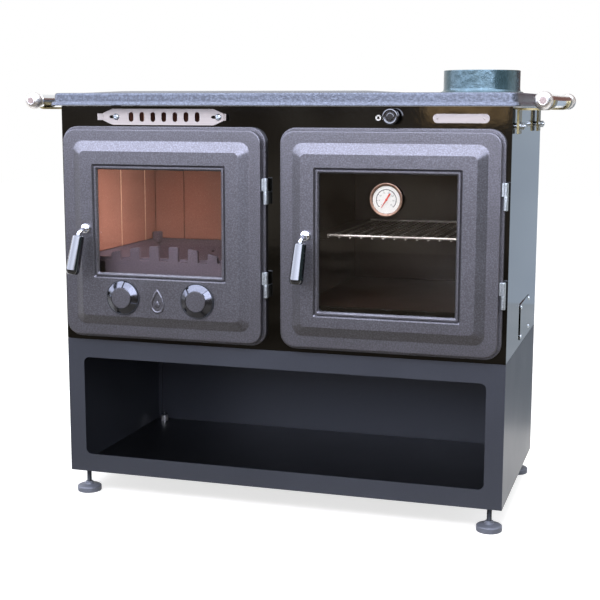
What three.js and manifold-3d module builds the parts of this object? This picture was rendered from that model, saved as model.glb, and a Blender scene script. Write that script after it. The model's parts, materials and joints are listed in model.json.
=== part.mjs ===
// A wood-burning cookstove: a body with a firebox on the left and an oven on the right, under a cast hob,
// on a base that stores the logs. Millimetres, +Z up, +X to the right of someone facing the doors, +Y to the
// back. The model is built with X = 0 on the centre line, Y = 0 at the face of the front panel and Z = 0 on
// the floor, and is then centred front to back.
import * as THREE from 'three';
import { mergeVertices } from 'three/addons/utils/BufferGeometryUtils.js';
import Module from 'manifold-3d';

const wasm = await Module();
wasm.setup();

// Clearances
const seat = 0.3; // between pieces that rest on each other or are fixed together
const runningGap = 0.5; // round a piece that slides or turns
const cutRun = 5; // how far a cutter reaches past the faces that it cuts
const weldReach = 0.001; // points closer than this are one point

// Body and base
const bodyWidth = 900;
const bodyDepth = 453;
const bodyHeight = 473;
const bodySheet = 2;
const baseHeight = 281;
const baseSheet = 3;
const baseReturn = 13; // folded edge of the base's sides
const storeSideMargin = 35.3; // the log store's opening in the base's front
const storeTopMargin = 38;
const storeLowMargin = 37;
const storeCorner = 12;

// Levelling feet
const footHeight = 50; // from the floor to the base
const footInset = 27; // from the base's front, back and sides
const padRadius = 25;
const padHeelRadius = 20;
const padHeel = 5;
const padHeight = 14;
const padCrown = 2.5;
const stemRadius = 5;
const stemProud = 9; // above its nut
const stemCollarRadius = 8;
const footNutRadius = 9;
const footNutHeight = 12;

// Cleaning hatch, low on the right side
const hatchBack = 123; // from the body's back to the hatch
const hatchLength = 142;
const hatchRise = 12; // above the body's lower edge
const hatchHeight = 73;
const hatchPlate = 1.5;
const hatchLap = 12; // of the plate over its opening's edge
const hatchScrewRadius = 4;
const hatchScrewHead = 2;

// Hob
const hobOverFront = 26;
const hobOverBack = 13;
const hobOverSide = 15.5;
const hobHeight = 24.7;
const hobCorner = 16;
const hobLipHeight = 7.5;
const hobLipRound = 1.6;
const hobStep = 5.2; // from the lip in to the upright edge
const hobEdgeRound = 3.6;
const hobRim = 31; // solid rim round the pocket under the hob
const hobPlate = 10;
const crownRise = 5; // of the cooking field over the hob's edge
const crownSlope = 100;
const crownLeftMargin = 20;
const crownRightMargin = 221; // leaves the flue's end of the hob flat
const crownEndMargin = 34;

// Hob ring and lid, over the fire
const ringOffset = 4.7; // of its middle to the right of the firebox door's
const ringForward = 1.5; // of its middle in front of the body's
const ringRadius = 105;
const ringLedge = 9;
const ringThickness = 9;
const lidRadius = 66;
const lidLedge = 7;
const lidThickness = 5;
const lifterSlotWidth = 8;
const lifterSlotLength = 22;

// Flue collar
const flueSide = 112; // of its middle from the body's right side
const flueBack = 101; // of its middle from the body's back
const flueRadius = 79;
const flueWall = 5;
const flueHeight = 48;
const flueFlangeRadius = 85.5;
const flueFlange = 4;
const flueFillet = 5;

// Side rails and their brackets
const railRadius = 12.5;
const railGap = 55; // of its middle past the body's side
const railRise = 10; // over the body's top edge
const ballRadius = 17;
const ballFace = 8; // radius of the flat turned on each end
const ballReach = 10; // of the ball's centre past the body's front and back
const bracketSheet = 4;
const bracketWidth = 40;
const bracketDrop = 47;
const bracketOff = 4; // from the side panel
const bracketFront = 28; // of the front ones from the front panel's face
const bracketBack = 71; // of the rear ones from the body's back
const bracketBoltRise = 14;
const bracketBoltRadius = 4;
const bracketNutRadius = 7.5;
const bracketNut = 7;
const bracketTail = 3;
const saddleWrap = 95; // degrees of the rail that the saddle goes round

// Doors
const fireDoorMargin = 12.1; // from the body's left side
const ovenDoorMargin = 14.4; // from the body's right side
const doorSpacing = 40.7; // between the doors
const doorTopMargin = 45.9; // from the body's upper edge
const doorRise = 14.7; // of the door's lower edge over the body's
const doorCorner = 25;
const doorFlange = 23;
const doorFlangeFront = 22; // of the flange's face in front of the panel
const doorFront = 34; // of the raised face
const doorEdgeRound = 2.5;
const doorBevel = 19;
const doorBevelCorner = 20;
const doorPlateauCorner = 9;
const doorGap = 1.5; // between the door and its frame
const doorWall = 8;
const doorRimWall = 10;
const grooveMargin = 67.5; // from the door's edge to the groove round its window
const fireGrooveLow = 119;
const ovenGrooveLow = 62.5;
const grooveDepth = 3;
const grooveCorner = 2.5;
const windowLedge = 10.4;
const windowCorner = 2;
const glassThickness = 4;
const glassLap = 9;

// Cast door frames on the front panel
const frameReveal = 6; // of the frame round its door
const frameDepth = 8;
const frameWidth = 36;
const frameInnerCorner = 8;

// Door hinges
const hingeOut = 7.5; // of the pin past the door's edge
const hingeForward = 13.5;
const hingeRadius = 4.75;
const hingeHeight = 50;
const hingePinRadius = 2.4;
const hingeBoreRadius = 3;
const hingePinShare = 0.7; // of the upper knuckle's height
const lowHinge = 115.8; // of the hinge's middle over the door's lower edge
const highHinge = 296.8;
const hingeTab = 4;

// Latch handles
const spindleInset = 53.3; // from the door's left edge
const spindleRise = 217; // over the door's lower edge
const spindleRadius = 4.5;
const domeRadius = 10;
const domeHeight = 8;
const armRadius = 4.2;
const armOut = 30; // of the arm's bend in front of the raised face
const armDrop = 12;
const gripTopRadius = 10.5;
const gripEndRadius = 13;
const gripLength = 77;
const gripChamfer = 2.5;
const gripSocket = 14;
const gripTilt = 10; // degrees, the grip's lower end away from the door
const fireLean = 7.5; // degrees from upright
const ovenLean = 4;
const tongueReach = 21;
const tongueWidth = 8;
const tongueThickness = 3;
const tongueAngle = 45; // degrees above level when the grip hangs upright
const catchReach = 6; // of the frame's catch into its opening
const catchAbove = 3;
const catchBelow = 14;

// Air knobs on the firebox door
const leftKnobOffset = 77.3; // from the door's middle
const rightKnobOffset = 81.3;
const knobRise = 81.3; // over the door's lower edge
const knobRadius = 35;
const knobProud = 11;
const knobEdge = 3;
const knobFaceRadius = 20;
const knobDish = 1.2;
const knobNotchWidth = 5;
const knobNotchDepth = 1.6;
const knobBoltRadius = 5;
const knobNutRadius = 9;
const knobNut = 6;
const airHoleRadius = 7;
const airHoleCircle = 20;
const leftKnobTurn = 14; // degrees
const rightKnobTurn = -38;

// Ornament cast on the firebox door: a plain drop
const ornamentOffset = 3.5; // left of the door's middle
const ornamentRise = 77;
const ornamentWidth = 30;
const ornamentHeight = 50;
const ornamentBand = 4.5;
const ornamentRaise = 2.2;

// Air slider above the firebox door
const sliderOffset = 0.8; // of its middle to the left of the firebox door's
const sliderDrop = 21.5; // below the body's top edge
const sliderLength = 255;
const sliderHeight = 31.4;
const sliderChamfer = 21;
const sliderEnd = 14;
const sliderSheet = 1.5;
const sliderTab = 8;
const airSlotCount = 7;
const airSlotPitch = 23.3;
const airSlotWidth = 10;
const airSlotHeight = 19;
const airSlotShift = 3.2; // of the middle slot from the slider's middle
const screwSpan = 215.7;
const screwShift = 9; // of the screws' middle from the slider's middle
const screwRadius = 2.5;
const screwHeadRadius = 5.8;
const screwHead = 2.6;

// Flue damper: a pull knob whose rod carries the plate under the flue
const damperOffset = 2.6; // of the knob to the right of the oven door's middle
const damperDrop = 19; // below the body's top edge
const pullRadius = 15;
const pullProud = 25;
const pullNeckRadius = 9;
const pullNeck = 7;
const pullRound = 3;
const damperRodRadius = 4;
const damperLength = 110;
const damperPlate = 3;
const damperMargin = 6;

// Oven
const ovenSheet = 2.5;
const ovenBackMargin = 30.7; // from the cavity to the body's back
const ovenFloorRise = 78.3; // of the cavity's floor over the door's lower edge
const ovenTopMargin = 58.1; // from the cavity to the door's upper edge
const ovenCorner = 8;
const rackRise = 128; // of the runners over the cavity's floor
const runnerWidth = 52;
const rackFront = 40;
const rackBackGap = 37.3; // from the rack to the cavity's back
const rackSideGap = 47.7;
const rackWireCount = 13;
const rackWireRadius = 1.6;
const rackBarRadius = 2.6;
const rackWireReach = 3;

// Thermometer on the oven door's glass
const thermoMargin = 15.2; // from its rim up to the window's edge
const thermoRadius = 31;
const thermoBodyRadius = 28;
const thermoDepth = 11;
const thermoBezel = 4;
const thermoBezelWidth = 4.5;
const thermoRecess = 3;
const thermoStemRadius = 3.5;
const thermoNutRadius = 8;
const thermoNut = 5;
const thermoStemTail = 4;
const needleReach = 13;
const needleTail = 8;
const needleWidth = 2.4;
const needleHub = 2;
const needleThickness = 0.6;
const needleTurn = 32; // degrees clockwise from upright

// Firebox
const fireLeftMargin = 30; // from the body's left side to the left bricks' face
const fireRightInset = 41.5; // of the right bricks' face behind the door's edge
const fireFront = 8;
const fireBackMargin = 68; // from the rear bricks' face to the body's back
const brickThickness = 22;
const brickWidth = 125;
const brickJoint = 4;
const brickTopDrop = 10; // below the body's top edge
const shellSheet = 2.5;
const shellRise = 39; // of the shell's floor over the body's lower edge
const gasWindowHeight = 70; // over the right-hand wall of the shell, for the gases
const grateRise = 169; // of the grate's rim over the body's lower edge
const grateRim = 10;
const grateLedge = 14;
const grateDepth = 38;
const grateSlope = 48;
const grateWall = 8;
const grateFront = 28.6;
const grateSlotCount = 7;
const grateSlotWidth = 11;
const grateSlotMargin = 26;
const grateHoleRadius = 6;
const grateHoleCount = 6;
const grateLugWidth = 20;
const grateLugHeight = 17;
const fenceFront = 20;
const fenceThickness = 8;
const fenceRise = 115; // of the fence's foot over the body's lower edge
const fenceSideGap = 49; // from the bricks' face
const fenceGapRise = 48.7; // of the gaps between teeth over the foot
const fenceTooth = 20;
const fenceGap = 22; // between teeth
const fenceEnd = 14.5; // of the plate past the outer teeth
const fenceArch = 31; // of the arch over the gaps at its middle
const fenceArchDrop = 13.4; // of the arch at the outer teeth
const sillDepth = 24;
const panSideGap = 68.5; // from the bricks' face
const panBackGap = 73;
const panHeight = 52;
const panSheet = 1.5;
const panFront = 22;
const panLip = 10;

// Number of steps in round shapes
const cornerArcs = 4;
const slotArcs = 3;
const roundSides = 16;
const wideSides = 28;
const wireSides = 6;
const armSides = 8;
const armSteps = 12;
const dropSteps = 24;
const nutSides = 6;

// Places that follow from these sizes
const halfWidth = bodyWidth / 2;
const baseTop = footHeight + baseHeight;
const bodyLow = baseTop + seat;
const bodyTop = baseTop + bodyHeight;
const doorLow = baseTop + doorRise;
const hobLow = bodyTop + seat;
const hobTop = hobLow + hobHeight;
const frameFront = seat + frameDepth;
const glassFront = doorFront - doorWall + seat;
const doorWidth = (bodyWidth - fireDoorMargin - ovenDoorMargin - doorSpacing) / 2;
const fireDoorX = [-halfWidth + fireDoorMargin, -halfWidth + fireDoorMargin + doorWidth];
const ovenDoorX = [halfWidth - ovenDoorMargin - doorWidth, halfWidth - ovenDoorMargin];
const fireDoorCentre = (fireDoorX[0] + fireDoorX[1]) / 2;
const ovenDoorCentre = (ovenDoorX[0] + ovenDoorX[1]) / 2;
const doorZ = [doorLow, bodyTop - doorTopMargin];
const thermoZ = doorZ[1] - grooveMargin - windowLedge - thermoMargin - thermoRadius;
const mouthInset = frameWidth - frameReveal;
const railOut = bodyWidth / 2 + railGap;
const ovenX = [ovenDoorX[0] + mouthInset, ovenDoorX[1] - mouthInset];
const ovenY = [bodySheet + seat, bodyDepth - ovenBackMargin];
const ovenZ = [doorLow + ovenFloorRise, doorZ[1] - ovenTopMargin];
const rackLevel = ovenZ[0] + rackRise;
const sliderCentre = fireDoorCentre - sliderOffset;
const damperX = ovenDoorCentre + damperOffset;
const flueX = halfWidth - flueSide;
const flueY = bodyDepth - flueBack;
const ringCentreX = fireDoorCentre + ringOffset;
const ringCentreY = bodyDepth / 2 - ringForward;
const fireX = [-halfWidth + fireLeftMargin, fireDoorX[1] - fireRightInset];
const fireCentre = (fireX[0] + fireX[1]) / 2;
const fireBack = bodyDepth - fireBackMargin;
const sliderZ = bodyTop - sliderDrop;
const damperZ = bodyTop - damperDrop;
const railZ = bodyTop + railRise;
const shellFloor = baseTop + shellRise;
const grateTop = baseTop + grateRise;

const finishes = {
  slateEnamel: { color: 0x444853, roughness: 0.45, metalness: 0.2 },
  blackEnamel: { color: 0x14120f, roughness: 0.18, metalness: 0.1 },
  castIron: { color: 0x5b5a63, roughness: 0.7, metalness: 0.35 },
  hobIron: { color: 0x6c7083, roughness: 0.6, metalness: 0.35 },
  fireIron: { color: 0x4b434b, roughness: 0.8, metalness: 0.3 },
  collarEnamel: { color: 0x35474c, roughness: 0.35, metalness: 0.3 },
  chrome: { color: 0xd9dde2, roughness: 0.12, metalness: 1 },
  yellowZinc: { color: 0xc9b878, roughness: 0.35, metalness: 1 },
  stainless: { color: 0xd8cfc9, roughness: 0.35, metalness: 0.9 },
  blackPlastic: { color: 0x101214, roughness: 0.15, metalness: 0 },
  greyPlastic: { color: 0x6f727c, roughness: 0.55, metalness: 0 },
  glass: { color: 0x9aa0a0, roughness: 0.05, metalness: 0, transparent: true, opacity: 0.25 },
  ovenEnamel: { color: 0x352d28, roughness: 0.3, metalness: 0.1 },
  firebrick: { color: 0xa8694c, roughness: 0.9, metalness: 0 },
  bareSteel: { color: 0x77797c, roughness: 0.5, metalness: 0.8 },
  needleRed: { color: 0xc23327, roughness: 0.4, metalness: 0 },
};

const basis = (x, y, z) =>
  new THREE.Matrix4().makeBasis(new THREE.Vector3(...x), new THREE.Vector3(...y), new THREE.Vector3(...z));
// How a flat outline stands: seen from the front, from the right, or from above
const planes = {
  front: basis([1, 0, 0], [0, 0, 1], [0, -1, 0]),
  side: basis([0, 1, 0], [0, 0, 1], [1, 0, 0]),
  flat: basis([1, 0, 0], [0, 1, 0], [0, 0, 1]),
};
// Where the axis of a turned piece points
const turnings = {
  up: basis([1, 0, 0], [0, 0, 1], [0, -1, 0]),
  forward: basis([1, 0, 0], [0, -1, 0], [0, 0, -1]),
  right: basis([0, -1, 0], [1, 0, 0], [0, 0, 1]),
};
const radians = THREE.MathUtils.degToRad;
const grow = ([low, high], by) => [low - by, high + by];
const about = (middle, size) => [middle - size / 2, middle + size / 2];
const from = (low, size) => [low, low + size];
// A span on one side of the centre line, side being 1 on the right and -1 on the left
const across = (side, near, far) => (side > 0 ? [near, far] : [-far, -near]);
const times = (count, make) => Array.from({ length: count }, (_, i) => make(i));

function signedVolume(points, corners) {
  const [a, b, c] = [0, 1, 2].map(() => new THREE.Vector3());
  let sum = 0;
  for (let i = 0; i < corners.length; i += 3) {
    [a, b, c].forEach((v, k) => v.fromArray(points, corners[i + k] * 3));
    sum += a.dot(b.cross(c)) / 6;
  }
  return sum;
}

// A closed geometry as a solid that can be joined and cut
function solid(geometry) {
  geometry.deleteAttribute('normal');
  geometry.deleteAttribute('uv');
  const welded = mergeVertices(geometry, weldReach);
  const points = welded.getAttribute('position').array;
  const corners = [];
  for (let i = 0; i < welded.index.count; i += 3) {
    const [a, b, c] = [0, 1, 2].map((k) => welded.index.getX(i + k));
    if (a !== b && b !== c && c !== a) corners.push(a, b, c);
  }
  if (signedVolume(points, corners) < 0) corners.reverse();
  const triVerts = Uint32Array.from(corners);
  return new wasm.Manifold(new wasm.Mesh({ numProp: 3, vertProperties: points, triVerts }));
}

const joined = (first, ...others) => others.reduce((whole, next) => whole.add(next), first);
const cut = (body, ...tools) => tools.reduce((left, tool) => left.subtract(tool), body);

function block([x0, x1], [y0, y1], [z0, z1]) {
  const geometry = new THREE.BoxGeometry(x1 - x0, y1 - y0, z1 - z0);
  return solid(geometry.translate((x0 + x1) / 2, (y0 + y1) / 2, (z0 + z1) / 2));
}

// Points round a rectangle with rounded corners, anticlockwise from its lower right corner
function roundedOutline([x0, x1], [z0, z1], radius, arcs = cornerArcs) {
  const centres = [
    [x1 - radius, z0 + radius],
    [x1 - radius, z1 - radius],
    [x0 + radius, z1 - radius],
    [x0 + radius, z0 + radius],
  ];
  return centres.flatMap(([x, z], corner) =>
    times(arcs + 1, (i) => {
      const angle = ((corner - 1 + i / arcs) * Math.PI) / 2;
      return new THREE.Vector2(x + radius * Math.cos(angle), z + radius * Math.sin(angle));
    }),
  );
}

// A slot with round ends, without the doubled points where its two arcs meet
function slotOutline(xs, zs) {
  const radius = Math.min(xs[1] - xs[0], zs[1] - zs[0]) / 2;
  const points = roundedOutline(xs, zs, radius, slotArcs);
  return points.filter((p, i) => p.distanceTo(points[(i + 1) % points.length]) > weldReach);
}

const rectangle = ([x0, x1], [z0, z1]) =>
  [[x0, z0], [x1, z0], [x1, z1], [x0, z1]].map(([x, z]) => new THREE.Vector2(x, z));
const polygon = (points) => points.map(([x, z]) => new THREE.Vector2(x, z));
const inPlane = (plane, depth) => (plane === 'front' ? -depth : depth);

// A flat plate with holes; near and far are its faces along Y, X or Z
function slab(plane, [near, far], outline, holes = []) {
  const shape = new THREE.Shape(outline);
  shape.holes = holes.map((hole) => new THREE.Path(hole));
  const geometry = new THREE.ExtrudeGeometry(shape, { depth: far - near, bevelEnabled: false });
  geometry.translate(0, 0, Math.min(inPlane(plane, near), inPlane(plane, far)));
  return solid(geometry.applyMatrix4(planes[plane]));
}

// Skin through outlines with equal numbers of points. As a ring the last outline meets the first, as on a
// picture frame; otherwise both ends are capped.
function lofted(plane, levels, ring = false) {
  const count = levels[0][1].length;
  const level = ([depth, outline]) => outline.flatMap((p) => [p.x, p.y, inPlane(plane, depth)]);
  const points = levels.flatMap(level);
  const index = [];
  for (let i = 0; i < levels.length - (ring ? 0 : 1); i++) {
    const next = ((i + 1) % levels.length) * count;
    for (let j = 0; j < count; j++) {
      const k = (j + 1) % count;
      index.push(i * count + j, i * count + k, next + k, i * count + j, next + k, next + j);
    }
  }
  const last = (levels.length - 1) * count;
  for (let j = 1; !ring && j < count - 1; j++) index.push(0, j + 1, j, last, last + j, last + j + 1);
  const geometry = new THREE.BufferGeometry();
  geometry.setAttribute('position', new THREE.Float32BufferAttribute(points, 3));
  geometry.setIndex(index);
  return solid(geometry.applyMatrix4(planes[plane]));
}

// A turned piece: its profile lists radius and distance along the axis
function turned(direction, sides, profile, at = [0, 0, 0]) {
  const points = profile.map(([radius, along]) => new THREE.Vector2(radius, along));
  const geometry = new THREE.LatheGeometry(points, sides);
  return solid(geometry.applyMatrix4(turnings[direction]).translate(...at));
}

const round = (direction, sides, radius, [low, high], at) =>
  turned(direction, sides, [[0, low], [radius, low], [radius, high], [0, high]], at);

// A round bar bent along a smooth path
function bentBar(points, radius, sides, steps) {
  const section = new THREE.Shape(circleOutline(0, 0, radius, sides));
  const extrudePath = new THREE.CatmullRomCurve3(points.map((p) => new THREE.Vector3(...p)));
  return solid(new THREE.ExtrudeGeometry(section, { steps, extrudePath, bevelEnabled: false }));
}

function circleOutline(x, z, radius, sides) {
  return times(sides, (i) => {
    const angle = (i / sides) * 2 * Math.PI;
    return new THREE.Vector2(x + radius * Math.cos(angle), z + radius * Math.sin(angle));
  });
}

function part(name, body, finish) {
  const { vertProperties, triVerts } = body.getMesh();
  const geometry = new THREE.BufferGeometry();
  geometry.setAttribute('position', new THREE.BufferAttribute(vertProperties, 3));
  geometry.setIndex(new THREE.BufferAttribute(triVerts, 1));
  geometry.computeVertexNormals();
  const mesh = new THREE.Mesh(geometry, new THREE.MeshStandardMaterial(finishes[finish]));
  mesh.name = name;
  return mesh;
}

function group(...members) {
  const made = new THREE.Group();
  made.add(...members);
  return made;
}

function placed(object, x, y, z) {
  object.position.set(x, y, z);
  return object;
}

// Base with the log store
const footPlaces = ['front', 'rear'].flatMap((end) =>
  ['left', 'right'].map((side) => ({
    name: `foot_${end}_${side}`,
    x: (side === 'left' ? -1 : 1) * (halfWidth - footInset),
    y: end === 'front' ? footInset : bodyDepth - footInset,
  })),
);

function baseSide(name, side) {
  const z = [footHeight, baseTop];
  const back = bodyDepth - baseSheet - seat;
  const wall = block(across(side, halfWidth - baseSheet, halfWidth), [baseSheet + seat, bodyDepth], z);
  const fold = across(side, halfWidth - baseReturn, halfWidth);
  const frontReturn = block(fold, from(baseSheet + seat, baseSheet), z);
  const backReturn = block(fold, [back - baseSheet, back], z);
  return part(name, joined(wall, frontReturn, backReturn), 'slateEnamel');
}

function baseFloor() {
  const x = grow([-halfWidth, halfWidth], -baseSheet - seat);
  const fold = 2 * (baseSheet + seat);
  const plate = block(x, [fold, bodyDepth - fold], from(footHeight, baseSheet));
  const nutZ = from(footHeight, baseSheet + footNutHeight);
  const nuts = footPlaces.map(({ x: nutX, y }) => round('up', nutSides, footNutRadius, nutZ, [nutX, y, 0]));
  const boreZ = grow(nutZ, cutRun);
  const bores = footPlaces.map(({ x: nutX, y }) =>
    round('up', roundSides, stemRadius + runningGap, boreZ, [nutX, y, 0]),
  );
  return part('base_floor', cut(joined(plate, ...nuts), ...bores), 'slateEnamel');
}

function foot({ name, x, y }) {
  const stemTop = footHeight + baseSheet + footNutHeight + stemProud;
  const profile = [
    [0, 0],
    [padHeelRadius, 0],
    [padRadius, padHeel],
    [padRadius, padHeight - padCrown],
    [padRadius - padCrown, padHeight],
    [stemCollarRadius, padHeight + padCrown],
    [stemRadius, padHeight + 2 * padCrown],
    [stemRadius, stemTop],
    [0, stemTop],
  ];
  return placed(part(name, turned('up', roundSides, profile), 'greyPlastic'), x, y, 0);
}

function base() {
  const z = [footHeight, baseTop];
  const store = roundedOutline(
    grow([-halfWidth, halfWidth], -storeSideMargin),
    [footHeight + storeLowMargin, baseTop - storeTopMargin],
    storeCorner,
  );
  const inner = grow([-halfWidth, halfWidth], -baseSheet - seat);
  const front = slab('front', [0, baseSheet], rectangle([-halfWidth, halfWidth], z), [store]);
  return group(
    part('base_front', front, 'slateEnamel'),
    baseSide('base_side_left', -1),
    baseSide('base_side_right', 1),
    part('base_back', block(inner, [bodyDepth - baseSheet, bodyDepth], z), 'slateEnamel'),
    baseFloor(),
    ...footPlaces.map(foot),
  );
}

// Body casing
const screwPlaces = [-1, 1].map((end) => sliderCentre + screwShift + (end * screwSpan) / 2);
const airSlotPlaces = times(
  airSlotCount,
  (i) => sliderCentre + airSlotShift + (i - (airSlotCount - 1) / 2) * airSlotPitch,
);
const airSlots = () =>
  airSlotPlaces.map((x) => slotOutline(about(x, airSlotWidth), about(sliderZ, airSlotHeight)));

function frontPanel() {
  const outline = rectangle([-halfWidth, halfWidth], [bodyLow, bodyTop]);
  const fireMouth = roundedOutline(grow(fireDoorX, -mouthInset), grow(doorZ, -mouthInset), frameInnerCorner);
  const ovenMouth = roundedOutline(ovenX, ovenZ, ovenCorner);
  const rodHole = circleOutline(damperX, damperZ, damperRodRadius + runningGap, roundSides);
  const sheet = slab('front', [0, bodySheet], outline, [fireMouth, ovenMouth, rodHole, ...airSlots()]);
  const headBack = seat + sliderSheet + seat;
  const screws = screwPlaces.flatMap((x) => [
    round('forward', roundSides, screwRadius, [-bodySheet, headBack + screwHead / 2], [x, 0, sliderZ]),
    turned(
      'forward',
      roundSides,
      [
        [0, headBack],
        [screwHeadRadius, headBack],
        [screwHeadRadius * 0.9, headBack + screwHead / 2],
        [0, headBack + screwHead],
      ],
      [x, 0, sliderZ],
    ),
  ]);
  return part('front_panel', joined(sheet, ...screws), 'blackEnamel');
}

const hatchSpan = () => from(bodyDepth - hatchBack - hatchLength, hatchLength);
const hatchZ = () => from(baseTop + hatchRise, hatchHeight);

function sidePanel(name, side) {
  const thickness = across(side, halfWidth - bodySheet, halfWidth);
  const outline = rectangle([bodySheet + seat, bodyDepth], [bodyLow, bodyTop]);
  const opening = rectangle(grow(hatchSpan(), -hatchLap), grow(hatchZ(), -hatchLap));
  return part(name, slab('side', thickness, outline, side > 0 ? [opening] : []), 'blackEnamel');
}

function cleaningHatch() {
  const plate = block(from(halfWidth + seat, hatchPlate), hatchSpan(), hatchZ());
  const face = halfWidth + seat + hatchPlate;
  const screws = hatchSpan().flatMap((y, i) =>
    hatchZ().map((z, k) => {
      const inward = [i ? -1 : 1, k ? -1 : 1];
      const at = [face, y + inward[0] * hatchLap, z + inward[1] * hatchLap];
      const head = [
        [0, -hatchPlate / 2],
        [hatchScrewRadius, -hatchPlate / 2],
        [hatchScrewRadius, 0],
        [0, hatchScrewHead],
      ];
      return turned('right', roundSides, head, at);
    }),
  );
  return part('cleaning_hatch', joined(plate, ...screws), 'blackEnamel');
}

function casing() {
  const inner = grow([-halfWidth, halfWidth], -bodySheet - seat);
  const back = [bodyDepth - bodySheet, bodyDepth];
  const floorY = [bodySheet + seat, back[0] - seat];
  return group(
    frontPanel(),
    sidePanel('side_panel_left', -1),
    sidePanel('side_panel_right', 1),
    part('back_panel', block(inner, back, [bodyLow, bodyTop]), 'blackEnamel'),
    part('body_floor', block(inner, floorY, from(bodyLow, bodySheet)), 'blackEnamel'),
    cleaningHatch(),
  );
}

// Hob
const fieldTop = hobTop + crownRise;

function hobPiece() {
  const x = grow([-halfWidth, halfWidth], hobOverSide);
  const y = [-hobOverFront, bodyDepth + hobOverBack];
  const ring = (inset) => roundedOutline(grow(x, -inset), grow(y, -inset), hobCorner);
  const upright = hobStep + hobLipRound;
  const edge = lofted('flat', [
    [hobLow, ring(hobLipRound)],
    [hobLow + hobLipRound, ring(0)],
    [hobLow + hobLipHeight - hobLipRound, ring(0)],
    [hobLow + hobLipHeight, ring(hobLipRound)],
    [hobLow + hobLipHeight, ring(hobStep)],
    [hobTop - hobEdgeRound, ring(upright)],
    [hobTop - hobEdgeRound / 3, ring(upright + hobEdgeRound / 3)],
    [hobTop, ring(upright + hobEdgeRound)],
  ]);
  const fieldX = [x[0] + crownLeftMargin, x[1] - crownRightMargin];
  const fieldY = grow(y, -crownEndMargin);
  const field = (inset) => roundedOutline(grow(fieldX, -inset), grow(fieldY, -inset), hobCorner);
  const crown = lofted('flat', [
    [hobTop - hobPlate, field(0)],
    [hobTop, field(0)],
    [fieldTop, field(crownSlope)],
  ]);
  const pocket = slab('flat', [hobLow - cutRun, hobTop - hobPlate], ring(hobRim));
  const ringAt = [ringCentreX, ringCentreY, 0];
  const flue = round('up', wideSides, flueRadius - flueWall, [hobLow, fieldTop + cutRun], [flueX, flueY, 0]);
  const wellZ = [fieldTop - ringThickness - seat, fieldTop + cutRun];
  const well = round('up', wideSides, ringRadius + runningGap, wellZ, ringAt);
  const throat = round('up', wideSides, ringRadius - ringLedge, [hobLow, fieldTop], ringAt);
  return part('hob_plate', cut(joined(cut(edge, pocket), crown), flue, well, throat), 'hobIron');
}

function hobRing() {
  const low = fieldTop - ringThickness;
  const ledgeTop = fieldTop - lidThickness - seat;
  const profile = [
    [lidRadius - lidLedge, low],
    [ringRadius, low],
    [ringRadius, fieldTop],
    [lidRadius + runningGap, fieldTop],
    [lidRadius + runningGap, ledgeTop],
    [lidRadius - lidLedge, ledgeTop],
    [lidRadius - lidLedge, low],
  ];
  return part('hob_ring', turned('up', wideSides, profile, [ringCentreX, ringCentreY, 0]), 'hobIron');
}

function hobLid() {
  const low = fieldTop - lidThickness;
  const disc = round('up', wideSides, lidRadius, [low, fieldTop], [ringCentreX, ringCentreY, 0]);
  const slotX = about(ringCentreX, lifterSlotWidth);
  const slotY = from(ringCentreY - lidRadius + 2 * lidLedge, lifterSlotLength);
  const lifterSlot = block(slotX, slotY, [low + lidThickness / 3, fieldTop + cutRun]);
  return part('hob_lid', cut(disc, lifterSlot), 'hobIron');
}

function flueCollar() {
  const low = hobTop + seat;
  const inner = flueRadius - flueWall;
  const profile = [
    [inner, low],
    [flueFlangeRadius, low],
    [flueFlangeRadius, low + flueFlange],
    [flueRadius, low + flueFlange + flueFillet],
    [flueRadius, low + flueHeight],
    [inner, low + flueHeight],
    [inner, low],
  ];
  return part('flue_collar', turned('up', wideSides, profile, [flueX, flueY, 0]), 'collarEnamel');
}

// Side rails
const railEnds = [-ballReach, bodyDepth + ballReach];

function railEnd(name, side, end) {
  const flat = Math.sqrt(ballRadius ** 2 - ballFace ** 2);
  const start = Math.asin(ballFace / ballRadius);
  const arc = times(roundSides / 2 + 1, (i) => {
    const angle = start + (i / (roundSides / 2)) * (Math.PI - 2 * start);
    return [ballRadius * Math.sin(angle), -ballRadius * Math.cos(angle)];
  });
  const ball = turned('forward', roundSides, [[0, -flat], ...arc, [0, flat]]);
  return placed(part(name, ball, 'chrome'), side * railOut, railEnds[end], railZ);
}

function railTube(name, side) {
  const flat = Math.sqrt(ballRadius ** 2 - ballFace ** 2);
  const y = grow(railEnds, -flat - seat);
  const tube = round('forward', roundSides, railRadius, [-y[1], -y[0]], [side * railOut, 0, railZ]);
  return part(name, tube, 'chrome');
}

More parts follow.
